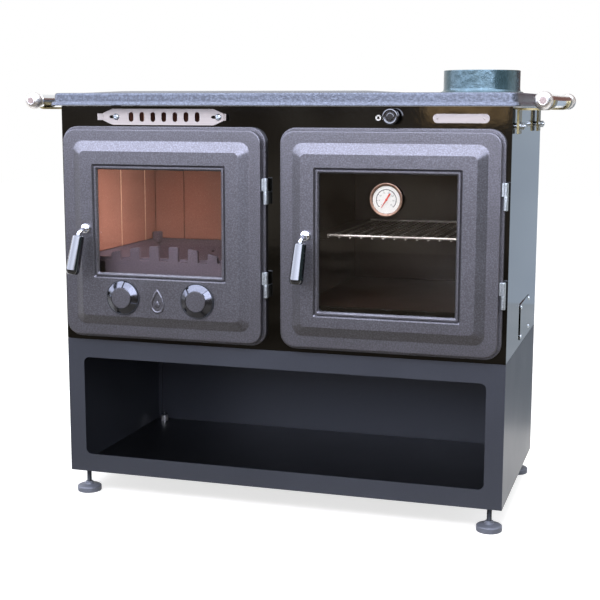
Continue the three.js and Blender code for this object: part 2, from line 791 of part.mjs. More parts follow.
// A leg down the side panel, an arm out under the hob and a saddle round the rail, seen along Y
function railBracket(name, side, front) {
  const legX = halfWidth + bracketOff;
  const inner = railRadius + seat;
  const outer = inner + bracketSheet;
  const armZ = railZ - outer;
  const curl = (radius, ends) =>
    times(cornerArcs + 1, (i) => {
      const angle = -Math.PI / 2 + ends[0] + (i / cornerArcs) * (ends[1] - ends[0]);
      return [railOut + radius * Math.cos(angle), railZ + radius * Math.sin(angle)];
    });
  const turn = radians(saddleWrap);
  const outline = [
    [legX, armZ + bracketSheet],
    [legX, armZ - bracketDrop + bracketSheet],
    [legX + bracketSheet, armZ - bracketDrop + bracketSheet],
    [legX + bracketSheet, armZ],
    ...curl(outer, [0, turn]),
    ...curl(inner, [turn, 0]),
  ];
  const strip = slab('front', [0, bracketWidth], polygon(outline));
  const boltZ = armZ - bracketDrop + bracketSheet + bracketBoltRise;
  const boltAt = [halfWidth, bracketWidth / 2, boltZ];
  const boltX = [seat, bracketOff + bracketSheet + bracketNut + bracketTail];
  const bolt = round('right', roundSides, bracketBoltRadius, boltX, boltAt);
  const nutX = from(bracketOff + bracketSheet / 2, bracketSheet / 2 + bracketNut);
  const nut = round('right', nutSides, bracketNutRadius, nutX, boltAt);
  const mesh = placed(part(name, joined(strip, bolt, nut), 'yellowZinc'), 0, front, 0);
  if (side < 0) {
    mesh.rotation.z = Math.PI;
    mesh.position.y = front + bracketWidth;
  }
  return mesh;
}

function rails() {
  const sides = { left: -1, right: 1 };
  return Object.entries(sides).flatMap(([word, side]) => [
    railTube(`rail_${word}`, side),
    railEnd(`rail_end_front_${word}`, side, 0),
    railEnd(`rail_end_rear_${word}`, side, 1),
    railBracket(`rail_bracket_front_${word}`, side, bracketFront),
    railBracket(`rail_bracket_rear_${word}`, side, bodyDepth - bracketBack - bracketWidth),
  ]);
}

// Doors
function doorFrame(name, xs) {
  const outer = roundedOutline(grow(xs, frameReveal), grow(doorZ, frameReveal), doorCorner + frameReveal);
  const inner = roundedOutline(grow(xs, -mouthInset), grow(doorZ, -mouthInset), frameInnerCorner);
  const ring = slab('front', [-frameFront, -seat], outer, [inner]);
  const spindleZ = doorLow + spindleRise;
  const mouthX = xs[0] + mouthInset;
  const catchZ = [spindleZ - catchBelow, spindleZ + catchAbove];
  const latchCatch = block([mouthX - seat, mouthX + catchReach], [-frameFront, -seat], catchZ);
  return part(name, joined(ring, latchCatch), 'castIron');
}

function doorCasting(name, xs, grooveLow, holes, ...castOn) {
  const edge = (inset, corner) => roundedOutline(grow(xs, -inset), grow(doorZ, -inset), corner);
  const grooveX = grow(xs, -grooveMargin);
  const grooveZ = [doorZ[0] + grooveLow, doorZ[1] - grooveMargin];
  const groove = roundedOutline(grooveX, grooveZ, grooveCorner);
  const opening = roundedOutline(grow(grooveX, -windowLedge), grow(grooveZ, -windowLedge), windowCorner);
  const back = -frameFront - doorGap;
  const inside = -doorFront + doorWall;
  const flangeInside = -doorFlangeFront + doorWall;
  const ledgeInset = doorFlange + doorBevel;
  const casting = lofted(
    'front',
    [
      [back, edge(0, doorCorner)],
      [-doorFlangeFront + doorEdgeRound, edge(0, doorCorner)],
      [-doorFlangeFront, edge(doorEdgeRound, doorCorner - doorEdgeRound)],
      [-doorFlangeFront, edge(doorFlange, doorBevelCorner)],
      [-doorFront, edge(ledgeInset, doorPlateauCorner)],
      [-doorFront, groove],
      [-doorFront + grooveDepth, groove],
      [-doorFront + grooveDepth, opening],
      [inside, opening],
      [inside, edge(ledgeInset - doorWall / 2, doorPlateauCorner)],
      [flangeInside, edge(doorFlange - doorWall / 2, doorBevelCorner)],
      [flangeInside, edge(doorRimWall, doorCorner - doorRimWall)],
      [back, edge(doorRimWall, doorCorner - doorRimWall)],
    ],
    true,
  );
  const through = [-inside - cutRun, doorFront + cutRun];
  const spindleHole = round('forward', roundSides, spindleRadius + runningGap, through, [
    xs[0] + spindleInset,
    0,
    doorLow + spindleRise,
  ]);
  const others = holes.map(([x, z, radius]) => round('forward', roundSides, radius, through, [x, 0, z]));
  return part(name, joined(cut(casting, spindleHole, ...others), ...castOn), 'castIron');
}

function doorGlass(name, xs, grooveLow, stemHoles) {
  const grooveX = grow(xs, -grooveMargin);
  const grooveZ = [doorZ[0] + grooveLow, doorZ[1] - grooveMargin];
  const lap = windowLedge - glassLap;
  const outline = rectangle(grow(grooveX, -lap), grow(grooveZ, -lap));
  const y = from(-glassFront + 2 * seat, glassThickness);
  return part(name, slab('front', y, outline, stemHoles), 'glass');
}

// Half a lift-off hinge: the lower knuckle carries the pin, the upper one turns on it
function hinge(name, xs, rise, moving) {
  const height = hingeHeight / 2;
  const low = moving ? seat : -height;
  const body = round('up', roundSides, hingeRadius, [low, low + height - (moving ? seat : 0)]);
  const pinLength = hingePinShare * height;
  const pin = round('up', roundSides, hingePinRadius, [-height, pinLength]);
  const bore = round('up', roundSides, hingeBoreRadius, [-cutRun, pinLength + runningGap]);
  const tabZ = moving ? [seat, height] : [-height, 0];
  const toDoor = block([-hingeOut + seat, -hingeRadius / 2], from(-hingeTab, hingeTab), tabZ);
  const toPanelY = [hingeRadius / 2, hingeForward - seat];
  const toPanel = block(from(frameReveal - hingeOut + seat, hingeTab), toPanelY, tabZ);
  const shape = moving ? cut(joined(body, toDoor), bore) : joined(body, pin, toPanel);
  return placed(part(name, shape, 'chrome'), xs[1] + hingeOut, -hingeForward, doorLow + rise);
}

// Latch handle, drawn about its spindle with the grip hanging straight down
function latchHandle(word, xs, lean) {
  const gripAxis = [0, -Math.sin(radians(gripTilt)), -Math.cos(radians(gripTilt))];
  const gripTop = [0, -armOut, -armDrop];
  const along = (distance) => gripTop.map((value, i) => value + distance * gripAxis[i]);
  const dome = [
    [0, seat],
    [domeRadius, seat],
    [domeRadius, domeHeight / 2],
    [domeRadius * 0.75, domeHeight * 0.85],
    [0, domeHeight],
  ];
  const tongueFront = doorFront - seat + runningGap;
  const tongueBack = tongueFront + tongueThickness;
  const spindle = round('forward', roundSides, spindleRadius, [-tongueBack, domeHeight / 2]);
  const arm = bentBar(
    [
      [0, -domeHeight / 2, 0],
      [0, -armOut * 0.6, -armDrop * 0.12],
      along(-armRadius),
      along(0),
      along(gripSocket - seat),
    ],
    armRadius,
    armSides,
    armSteps,
  );
  const tip = radians(tongueAngle);
  const turn = ([x, z]) => [-x * Math.cos(tip) - z * Math.sin(tip), x * Math.sin(tip) - z * Math.cos(tip)];
  const corners = [
    [-tongueWidth / 2, -tongueWidth / 2],
    [tongueReach, -tongueWidth / 2],
    [tongueReach, tongueWidth / 2],
    [-tongueWidth / 2, tongueWidth / 2],
  ];
  const tongue = slab('front', [tongueFront, tongueBack], polygon(corners.map(turn)));
  const cap = turned('forward', roundSides, dome);
  const handle = part(`${word}_handle`, joined(spindle, cap, arm, tongue), 'chrome');

  const grip = turned('up', roundSides, [
    [0, -gripLength],
    [gripEndRadius - gripChamfer, -gripLength],
    [gripEndRadius, -gripLength + gripChamfer],
    [gripTopRadius, -gripChamfer / 2],
    [gripTopRadius - gripChamfer / 2, 0],
    [armRadius + runningGap, 0],
    [armRadius + runningGap, -gripSocket - seat],
    [0, -gripSocket - seat],
  ]);
  const gripPiece = placed(part(`${word}_grip`, grip, 'blackPlastic'), ...gripTop);
  gripPiece.rotation.x = -radians(gripTilt);
  const whole = placed(group(handle, gripPiece), xs[0] + spindleInset, -doorFront, doorLow + spindleRise);
  whole.rotation.y = radians(lean);
  return whole;
}

// Screw-type air knob: a coned rim with four notches round a flat face, on a bolt through the door
function airKnob(name, x, turnDegrees) {
  const back = -doorWall - seat;
  const profile = [
    [0, back - knobNut],
    [knobNutRadius, back - knobNut],
    [knobNutRadius, back],
    [knobBoltRadius, back],
    [knobBoltRadius, seat],
    [knobRadius, seat],
    [knobRadius, knobEdge],
    [knobFaceRadius, knobProud],
    [knobFaceRadius - knobDish, knobProud - knobDish],
    [0, knobProud - knobDish],
  ];
  const disc = turned('forward', wideSides, profile);
  const rimMiddle = (knobRadius + knobFaceRadius) / 2;
  const coneAngle = Math.atan2(knobProud - knobEdge, knobRadius - knobFaceRadius);
  const notches = times(4, (i) => {
    const box = new THREE.BoxGeometry(knobRadius - knobFaceRadius + cutRun, knobProud, knobNotchWidth);
    const sink = (knobProud + knobEdge) / 2 + knobProud / 2 - knobNotchDepth;
    box.rotateZ(coneAngle).translate(rimMiddle, -sink, 0);
    return solid(box.rotateY((i * Math.PI) / 2));
  });
  const knob = placed(part(name, cut(disc, ...notches), 'blackPlastic'), x, -doorFront, doorLow + knobRise);
  knob.rotation.y = radians(turnDegrees);
  return knob;
}

const knobPlaces = [fireDoorCentre - leftKnobOffset, fireDoorCentre + rightKnobOffset];

// A drop with its point upwards
function dropOutline(x, z, width, height) {
  return times(dropSteps, (i) => {
    const turn = (i / dropSteps) * 2 * Math.PI;
    const swell = 0.65 * Math.sin(turn) * Math.sin(turn / 2);
    return new THREE.Vector2(x - width * swell, z + (height / 2) * Math.cos(turn));
  });
}

function dropOrnament() {
  const x = fireDoorCentre - ornamentOffset;
  const z = doorLow + ornamentRise;
  const outer = dropOutline(x, z, ornamentWidth, ornamentHeight);
  const [width, height] = [ornamentWidth, ornamentHeight].map((size) => size - 2 * ornamentBand);
  const inner = dropOutline(x, z - ornamentBand / 2, width, height - ornamentBand);
  return slab('front', [-doorFront - ornamentRaise, -doorFront + grooveDepth], outer, [inner]);
}

function fireboxDoor() {
  const z = doorLow + knobRise;
  const holes = knobPlaces.flatMap((x) => [
    [x, z, knobBoltRadius + runningGap],
    ...times(4, (i) => {
      const angle = Math.PI / 4 + (i * Math.PI) / 2;
      return [x + airHoleCircle * Math.cos(angle), z + airHoleCircle * Math.sin(angle), airHoleRadius];
    }),
  ]);
  return group(
    doorFrame('firebox_door_frame', fireDoorX),
    doorCasting('firebox_door', fireDoorX, fireGrooveLow, holes, dropOrnament()),
    doorGlass('firebox_glass', fireDoorX, fireGrooveLow, []),
    hinge('firebox_hinge_low_fixed', fireDoorX, lowHinge, false),
    hinge('firebox_hinge_low_moving', fireDoorX, lowHinge, true),
    hinge('firebox_hinge_high_fixed', fireDoorX, highHinge, false),
    hinge('firebox_hinge_high_moving', fireDoorX, highHinge, true),
    latchHandle('firebox', fireDoorX, fireLean),
    airKnob('left_air_knob', knobPlaces[0], leftKnobTurn),
    airKnob('right_air_knob', knobPlaces[1], rightKnobTurn),
  );
}

function thermometer() {
  const glassBack = -seat - glassThickness;
  const profile = [
    [0, glassBack - seat - thermoNut - thermoStemTail],
    [thermoStemRadius, glassBack - seat - thermoNut - thermoStemTail],
    [thermoStemRadius, glassBack - seat - thermoNut],
    [thermoNutRadius, glassBack - seat - thermoNut],
    [thermoNutRadius, glassBack - seat],
    [thermoStemRadius, glassBack - seat],
    [thermoStemRadius, 0],
    [thermoBodyRadius, 0],
    [thermoBodyRadius, thermoDepth - thermoBezel],
    [thermoRadius, thermoDepth - thermoBezel],
    [thermoRadius, thermoDepth - thermoBezel / 4],
    [thermoRadius - thermoBezel / 4, thermoDepth],
    [thermoRadius - thermoBezelWidth, thermoDepth],
    [thermoRadius - thermoBezelWidth, thermoDepth - thermoRecess],
    [0, thermoDepth - thermoRecess],
  ];
  const dial = thermoDepth - thermoRecess;
  const pointer = slab('front', [-dial - seat - needleThickness, -dial - seat], polygon([
    [-needleWidth / 2, -needleTail],
    [needleWidth / 2, -needleTail],
    [needleWidth / 2, needleReach / 2],
    [0, needleReach],
    [-needleWidth / 2, needleReach / 2],
  ]));
  const hub = round('forward', roundSides, needleHub, [dial + seat, dial + seat + needleThickness]);
  const needle = part('thermometer_needle', joined(pointer, hub), 'needleRed');
  needle.rotation.y = radians(needleTurn);
  const casePiece = part('thermometer_case', turned('forward', wideSides, profile), 'stainless');
  return placed(group(casePiece, needle), ovenDoorCentre, -glassFront + seat, thermoZ);
}

function ovenDoor() {
  const stemHole = circleOutline(ovenDoorCentre, thermoZ, thermoStemRadius + runningGap, roundSides);
  return group(
    doorFrame('oven_door_frame', ovenDoorX),
    doorCasting('oven_door', ovenDoorX, ovenGrooveLow, []),
    doorGlass('oven_glass', ovenDoorX, ovenGrooveLow, [stemHole]),
    hinge('oven_hinge_low_fixed', ovenDoorX, lowHinge, false),
    hinge('oven_hinge_low_moving', ovenDoorX, lowHinge, true),
    hinge('oven_hinge_high_fixed', ovenDoorX, highHinge, false),
    hinge('oven_hinge_high_moving', ovenDoorX, highHinge, true),
    latchHandle('oven', ovenDoorX, ovenLean),
    thermometer(),
  );
}

// Controls on the front panel
function airSlider() {
  const [x0, x1] = about(sliderCentre, sliderLength);
  const [z0, z1] = about(sliderZ, sliderHeight);
  const [e0, e1] = about(sliderZ, sliderEnd);
  const outline = polygon([
    [x0, e0],
    [x0 + sliderChamfer, z0],
    [x1 - sliderChamfer, z0],
    [x1, e0],
    [x1, e1],
    [x1 - sliderChamfer, z1],
    [x0 + sliderChamfer, z1],
    [x0, e1],
  ]);
  const slack = screwRadius + runningGap;
  const guides = screwPlaces.map((x) =>
    slotOutline([x - airSlotPitch / 2 - slack, x + slack], about(sliderZ, 2 * slack)),
  );
  const y = [-seat - sliderSheet, -seat];
  const plate = slab('front', y, outline, [...airSlots(), ...guides]);
  const tab = (x, way) =>
    slab(
      'flat',
      [e0, e1],
      polygon([
        [x - way * sliderSheet, y[0]],
        [x - way * sliderSheet, y[1]],
        [x, y[1]],
        [x + way * sliderTab, y[1] - sliderTab],
        [x + way * sliderTab, y[0] - sliderTab],
        [x, y[0]],
      ]),
    );
  return part('air_slider', joined(plate, tab(x0, -1), tab(x1, 1)), 'stainless');
}

function damperPull() {
  const plateX = [damperX - 2 * damperRodRadius, flueX + flueRadius - flueWall + damperMargin];
  const plateY = about(flueY - damperMargin, damperLength);
  const knob = turned(
    'forward',
    roundSides,
    [
      [0, -plateY[0] - damperMargin],
      [damperRodRadius, -plateY[0] - damperMargin],
      [damperRodRadius, seat],
      [pullNeckRadius, seat],
      [pullNeckRadius, pullNeck],
      [pullRadius, pullNeck + pullRound],
      [pullRadius, pullProud - pullRound],
      [pullRadius - pullRound, pullProud],
      [0, pullProud],
    ],
    [damperX, 0, damperZ],
  );
  const plate = block(plateX, plateY, about(damperZ, damperPlate));
  return part('damper_pull', joined(knob, plate), 'blackPlastic');
}

// Oven
function ovenLiner() {
  const outside = block(grow(ovenX, ovenSheet), [ovenY[0], ovenY[1] + ovenSheet], grow(ovenZ, ovenSheet));
  const cavity = block(ovenX, [ovenY[0] - cutRun, ovenY[1]], ovenZ);
  const runnerY = [rackFront - rackBarRadius, ovenY[1]];
  const runnerZ = [rackLevel - ovenSheet, rackLevel];
  const runners = [
    block([ovenX[0] - ovenSheet / 2, ovenX[0] + runnerWidth], runnerY, runnerZ),
    block([ovenX[1] - runnerWidth, ovenX[1] + ovenSheet / 2], runnerY, runnerZ),
  ];
  return part('oven_liner', joined(cut(outside, cavity), ...runners), 'ovenEnamel');
}

function ovenRack() {
  const wireZ = rackLevel + seat + rackWireRadius;
  const barZ = wireZ + rackWireRadius + rackBarRadius * 0.75;
  const x = grow(ovenX, -rackSideGap);
  const yEnds = [rackFront, ovenY[1] - rackBackGap];
  const barX = grow(x, rackWireRadius);
  const bars = yEnds.map((y) => round('right', wireSides, rackBarRadius, barX, [0, y, barZ]));
  const wireRun = [-yEnds[1] - rackWireReach, -yEnds[0] + rackWireReach];
  const wires = times(rackWireCount, (i) => {
    const wireX = x[0] + (i / (rackWireCount - 1)) * (x[1] - x[0]);
    return round('forward', wireSides, rackWireRadius, wireRun, [wireX, 0, wireZ]);
  });
  return part('oven_rack', joined(...bars, ...wires), 'chrome');
}

// Firebox
function fireboxShell() {
  const outerX = grow(fireX, brickThickness + seat);
  const outerBack = fireBack + brickThickness + seat;
  const y = [bodySheet + seat, outerBack + shellSheet];
  const z = [shellFloor, bodyTop - brickTopDrop];
  const outside = block(grow(outerX, shellSheet), y, z);
  const inside = block(outerX, [y[0] - cutRun, outerBack], [z[0] + shellSheet, z[1] + cutRun]);
  const gasWindow = block(
    [outerX[1] - cutRun, outerX[1] + shellSheet + cutRun],
    [fireFront + brickThickness, outerBack - brickThickness],
    [z[1] - gasWindowHeight, z[1] + cutRun],
  );
  const ledgeZ = [grateTop - grateRim - seat - shellSheet, grateTop - grateRim - seat];
  const ledges = [
    block([outerX[0] - shellSheet / 2, outerX[0] + grateLedge], [grateFront, outerBack], ledgeZ),
    block([outerX[1] - grateLedge, outerX[1] + shellSheet / 2], [grateFront, outerBack], ledgeZ),
  ];
  const sillZ = baseTop + fenceRise - seat;
  const sillY = from(y[0], sillDepth + shellSheet);
  const sill = block(grow(outerX, shellSheet / 2), sillY, [sillZ - shellSheet, sillZ]);
  return part('firebox_shell', joined(cut(outside, inside, gasWindow), ...ledges, sill), 'bareSteel');
}

// Firebricks in plan: three walls with a vee at each joint
function firebrickLining() {
  const [x0, x1] = fireX;
  const vee = (along, depth, way) => [
    [along - (way * brickJoint) / 2, 0],
    [along, depth],
    [along + (way * brickJoint) / 2, 0],
  ];
  const depth = brickJoint / 2;
  // As many joints as the wall takes, the first one a share of a brick from the wall's near end
  const joints = (near, far, share) => {
    const count = Math.floor((far - near - brickThickness) / brickWidth - share) + 1;
    return times(count, (i) => near + brickWidth * (i + share));
  };
  const sideJoints = joints(fireFront, fireBack, 0.6);
  const rearJoints = joints(x0, x1, 0.75);
  const outline = polygon([
    [x0 - brickThickness, fireFront],
    [x0, fireFront],
    ...sideJoints.flatMap((y) => vee(y, depth, 1).map(([along, deep]) => [x0 - deep, along])),
    [x0, fireBack],
    ...rearJoints.flatMap((x) => vee(x, depth, 1).map(([along, deep]) => [along, fireBack + deep])),
    [x1, fireBack],
    ...sideJoints.toReversed().flatMap((y) => vee(y, depth, -1).map(([along, deep]) => [x1 + deep, along])),
    [x1, fireFront],
    [x1 + brickThickness, fireFront],
    [x1 + brickThickness, fireBack + brickThickness],
    [x0 - brickThickness, fireBack + brickThickness],
  ]);
  const z = [grateTop + seat, bodyTop - brickTopDrop];
  const walls = slab('flat', z, outline);
  const gasWindow = block(
    [x1 - cutRun, x1 + brickThickness + cutRun],
    [fireFront + brickThickness, fireBack],
    [z[1] - gasWindowHeight, z[1] + cutRun],
  );
  return part('firebrick_lining', cut(walls, gasWindow), 'firebrick');
}

function fireGrate() {
  const x = grow(fireX, brickThickness - seat);
  const y = [grateFront, fireBack + brickThickness - seat];
  const low = grateTop - grateDepth;
  const outer = (inset) => rectangle(grow(x, -inset), grow(y, -inset));
  const openX = fireX;
  const openY = [grateFront + grateWall, fireBack];
  const inner = (inset) => rectangle(grow(openX, -inset), grow(openY, -inset));
  const bodyShape = lofted('flat', [
    [grateTop, outer(0)],
    [grateTop - grateRim, outer(0)],
    [grateTop - grateRim, outer(grateLedge + seat)],
    [low - grateWall, outer(grateLedge + grateSlope)],
  ]);
  const hollow = lofted('flat', [
    [grateTop + cutRun, inner(0)],
    [grateTop, inner(0)],
    [low, inner(grateSlope)],
  ]);
  const floorX = grow(openX, -grateSlope - grateSlotWidth);
  const floorY = grow(openY, -grateSlope - grateSlotMargin);
  const pitch = (floorX[1] - floorX[0]) / (grateSlotCount - 1);
  const cutZ = [low - grateWall - cutRun, grateTop];
  const slotX = (i) => about(floorX[0] + i * pitch, grateSlotWidth);
  const slots = times(grateSlotCount, (i) => block(slotX(i), floorY, cutZ));
  const holePitch = (openX[1] - openX[0] - 2 * grateSlope) / (grateHoleCount - 1);
  const holes = times(grateHoleCount, (i) =>
    round('up', roundSides / 2, grateHoleRadius, cutZ, [
      openX[0] + grateSlope + i * holePitch,
      fireBack - grateSlope / 2,
      0,
    ]),
  );
  const lug = block(
    from(openX[0] + seat, grateLugWidth),
    [fireBack - grateLugWidth, fireBack - seat],
    [grateTop - grateWall, grateTop + grateLugHeight],
  );
  return part('fire_grate', joined(cut(bodyShape, hollow, ...slots, ...holes), lug), 'fireIron');
}

// Log fence: a plate whose upper edge is a row of teeth under an arch
function logFence() {
  const foot0 = baseTop + fenceRise;
  const gapZ = foot0 + fenceGapRise;
  const [x0, x1] = grow(fireX, -fenceSideGap);
  const pitch = fenceTooth + fenceGap;
  const toothCount = Math.round((x1 - x0 - 2 * fenceEnd + fenceGap) / pitch);
  const reach = ((toothCount - 1) / 2) * pitch;
  const archTop = (x) => gapZ + fenceArch - fenceArchDrop * ((x - fireCentre) / reach) ** 2;
  const teeth = times(toothCount, (i) => {
    const centre = fireCentre + reach - i * pitch;
    const [left, right] = about(centre, fenceTooth);
    return [
      [right, gapZ],
      [right, archTop(right)],
      [left, archTop(left)],
      [left, gapZ],
    ];
  }).flat();
  const outline = polygon([[x0, foot0], [x1, foot0], [x1, gapZ], ...teeth, [x0, gapZ]]);
  return part('log_fence', slab('front', from(fenceFront, fenceThickness), outline), 'fireIron');
}

function ashPan() {
  const x = grow(fireX, -panSideGap);
  const y = [panFront, fireBack - panBackGap];
  const z = from(shellFloor + shellSheet + seat, panHeight);
  const outside = block(x, y, z);
  const inside = block(grow(x, -panSheet), grow(y, -panSheet), [z[0] + panSheet, z[1] + cutRun]);
  const lipY = [y[0] - panLip, y[0] + panSheet / 2];
  const lip = block(grow(x, (x[0] - x[1]) / 3), lipY, [z[1] - panSheet, z[1]]);
  return part('ash_pan', joined(cut(outside, inside), lip), 'bareSteel');
}

const stove = group(
  base(),
  casing(),
  group(hobPiece(), hobRing(), hobLid(), flueCollar()),
  group(...rails()),
  fireboxDoor(),
  ovenDoor(),
  group(airSlider(), damperPull()),
  group(ovenLiner(), ovenRack()),
  group(fireboxShell(), firebrickLining(), fireGrate(), logFence(), ashPan()),
);
stove.updateMatrixWorld(true);
const bounds = new THREE.Box3().setFromObject(stove, true);
stove.position.y = -(bounds.min.y + bounds.max.y) / 2;

export default stove;
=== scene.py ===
import json
import math

import bmesh
import bpy
from mathutils import Matrix, Vector
from mathutils.geometry import tessellate_polygon

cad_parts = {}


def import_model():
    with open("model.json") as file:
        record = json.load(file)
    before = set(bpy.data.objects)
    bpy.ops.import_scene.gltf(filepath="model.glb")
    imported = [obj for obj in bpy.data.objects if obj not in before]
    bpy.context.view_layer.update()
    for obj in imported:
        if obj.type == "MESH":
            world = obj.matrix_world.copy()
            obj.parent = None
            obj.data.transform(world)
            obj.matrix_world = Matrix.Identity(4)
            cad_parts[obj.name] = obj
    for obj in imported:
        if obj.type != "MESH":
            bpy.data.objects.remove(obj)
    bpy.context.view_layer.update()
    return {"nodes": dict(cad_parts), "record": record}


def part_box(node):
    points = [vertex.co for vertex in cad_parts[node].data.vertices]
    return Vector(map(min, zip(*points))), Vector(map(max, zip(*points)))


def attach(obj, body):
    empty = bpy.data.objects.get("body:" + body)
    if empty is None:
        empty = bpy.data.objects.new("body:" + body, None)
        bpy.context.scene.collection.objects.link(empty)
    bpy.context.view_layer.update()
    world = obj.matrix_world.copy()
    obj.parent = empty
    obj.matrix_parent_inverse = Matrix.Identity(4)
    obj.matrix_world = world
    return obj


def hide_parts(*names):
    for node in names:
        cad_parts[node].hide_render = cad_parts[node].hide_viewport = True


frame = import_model()

MM = 0.001
WELD = 0.005 * MM
SEAT = 0.3  # between pieces that are fixed together
SHEET = 2.0  # the body's enamelled sheet
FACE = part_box("front_panel")[1].y - SHEET * MM
ORIGIN = (0, 0, 0)
SIDES, DOORS = ("left", "right"), ("firebox", "oven")
home = {node: body for body, nodes in frame["record"]["behaviour"]["bodies"].items() for node in nodes}


def spans(node):
    """The node's extents along x, y and z"""
    low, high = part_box(node)
    return tuple(((a - zero) / MM, (b - zero) / MM) for a, b, zero in zip(low, high, (0, FACE, 0)))


def middle(span):
    return (span[0] + span[1]) / 2


def grow(span, by):
    return (span[0] - by, span[1] + by)


def about(place, size):
    return (place - size / 2, place + size / 2)


def middle_of(node):
    return tuple(middle(span) for span in spans(node))


def shares(steps):
    return [k / steps for k in range(steps + 1)]


def spread(span, count):
    """Evenly spaced places from one end of a span to the other"""
    return [span[0] + share * (span[1] - span[0]) for share in shares(count - 1)]


# Shapes: each is a list of points and a list of faces
WAYS = {
    "up": lambda a, b, height: (a, b, height),
    "back": lambda a, b, depth: (a, depth, b),
    "forward": lambda a, b, height: (a, -height, b),
    "right": lambda a, b, height: (height, a, b),
}


def rounded(across, up, radius, arcs=8):
    """Points round a rectangle with rounded corners, anticlockwise from its lower right corner"""
    (x0, x1), (z0, z1) = grow(across, -radius), grow(up, -radius)
    points = []
    for quarter, (x, z) in enumerate(((x1, z0), (x1, z1), (x0, z1), (x0, z0))):
        for share in shares(arcs):
            turn = math.pi / 2 * (quarter - 1 + share)
            points.append((x + radius * math.cos(turn), z + radius * math.sin(turn)))
    return points


def inset_in(across, up, inset, corner, arcs=8):
    """A rounded rectangle set in from the sides of another"""
    return rounded(grow(across, -inset), grow(up, -inset), corner, arcs)


def full_turn(sides):
    return [math.tau * k / sides for k in range(sides)]


def circle(x, z, radius, sides=48):
    return [(x + radius * math.cos(turn), z + radius * math.sin(turn)) for turn in full_turn(sides)]


def laid(outline, depth, way="back"):
    """An outline's points at a depth along a way"""
    return [WAYS[way](a, b, depth) for a, b in outline]


def softened(levels, reach, around=False, steps=4):
    """A line's points with its corners rounded over a reach, one for all or one for each"""
    points = [Vector(level) for level in levels]
    reaches = reach if isinstance(reach, (list, tuple)) else [reach] * len(points)
    soft = []
    for i, here in enumerate(points):
        ends = not around and i in (0, len(points) - 1)
        if ends or not reaches[i]:
            soft.append(here)
            continue
        sides = (points[i - 1] - here, points[(i + 1) % len(points)] - here)
        near, far = (here + side * min(0.48, reaches[i] / side.length) for side in sides)
        soft += [near.lerp(here, t).lerp(here.lerp(far, t), t) for t in shares(steps)]
    return soft


def loft(rings, ends="capped"):
    """A skin over rings of as many points each: capped, open, or closed round from the last to the first"""
    count = len(rings[0])
    points = [tuple(point) for ring in rings for point in ring]
    faces = []
    for i in range(len(rings) if ends == "around" else len(rings) - 1):
        a, b = i * count, (i + 1) % len(rings) * count
        faces += [(a + k, a + (k + 1) % count, b + (k + 1) % count, b + k) for k in range(count)]
    if ends == "capped":
        faces += [tuple(range(count)), tuple(range((len(rings) - 1) * count, len(rings) * count))]
    return points, faces


def flat_face(outline, height, holes):
    """A level face with holes, without thickness, for a skin that other shapes close"""
    loops = [[Vector((a, b, 0)) for a, b in loop] for loop in (outline, *holes)]
    points = [(point.x, point.y, height) for loop in loops for point in loop]
    return points, [tuple(corners) for corners in tessellate_polygon(loops)]


def plate(outline, depths, holes=(), way="back"):
    """A flat plate with holes, between two depths along a way"""
    flat, triangles = flat_face(outline, 0, holes)
    count = len(flat)
    points = [WAYS[way](a, b, depth) for depth in depths for a, b, _ in flat]
    faces = triangles + [tuple(corner + count for corner in corners) for corners in triangles]
    start = 0
    for size in map(len, (outline, *holes)):
        for k in range(size):
            a, b = start + k, start + (k + 1) % size
            faces.append((a, b, b + count, a + count))
        start += size
    return points, faces


def walls(outline, low, high):
    return loft([laid(outline, z, "up") for z in (low, high)], "open")


def turned(profile, way, at=ORIGIN, sides=48, ends="capped", pressed=None, shift=0.0):
    """A turned shape from its profile of radius and height, which may be pressed into another shape"""
    rings = []
    for level in profile:
        ring = []
        for k in range(sides):
            turn = math.tau * (k + shift) / sides
            radius, height = pressed(*level, turn) if pressed else level
            point = WAYS[way](radius * math.cos(turn), radius * math.sin(turn), height)
            ring.append(tuple(a + b for a, b in zip(point, at)))
        rings.append(ring)
    return loft(rings, ends)


def hex_nut(radius, height, bore, way, at):
    """A hexagon nut whose corners are turned down at both ends"""
    chamfer = radius * 0.07
    profile = [(bore, 0), (radius - chamfer, 0), (radius, chamfer), (radius, height - chamfer)]
    profile += [(radius - chamfer, height), (bore, height)]

    def hexagon(reach, rise, turn):
        flat = radius * math.cos(math.pi / 6) / math.cos(turn % (math.pi / 3) - math.pi / 6)
        return (reach if reach == bore else min(reach, flat)), rise

    return turned(profile, way, at, 48, "around", hexagon)


def pan_head(radius, height, way, at):
    """A pan-head screw with a cross recess pressed into its head"""
    arm, depth, reached = radius * 0.16, height * 0.5, radius * 0.6
    dome = ((0.12, 0.97), (0.3, 1), (0.55, 0.97), (0.7, 0.88), (0.9, 0.55), (1, 0.12), (1, 0))

    def crossed(reach, rise, turn):
        sunk = min(abs(reach * math.cos(turn)), abs(reach * math.sin(turn))) < arm and reach < reached
        return reach, rise - (depth if sunk else 0)

    return turned([(radius * a, height * b) for a, b in dome], way, at, 64, "capped", crossed, 0.5)


def rear_head(radius, height, at):
    """A pan-head screw that faces backwards"""
    return moved(pan_head(radius, height, "forward", ORIGIN), placed(at, 180, "Z"))


def bar(path, radius, sides=12, ends="capped"):
    """A round bar along a path"""
    path = [Vector(point) for point in path]
    last = len(path) - 1
    rings, normal = [], None
    for i, point in enumerate(path):
        if ends == "around":
            tangent = (path[(i + 1) % len(path)] - path[i - 1]).normalized()
        else:
            tangent = (path[min(i + 1, last)] - path[max(i - 1, 0)]).normalized()
        normal = normal or tangent.orthogonal()
        normal = (normal - tangent * normal.dot(tangent)).normalized()
        side = tangent.cross(normal)
        outwards = [normal * math.cos(turn) + side * math.sin(turn) for turn in full_turn(sides)]
        rings.append([point + radius * out for out in outwards])
    return loft(rings, ends)


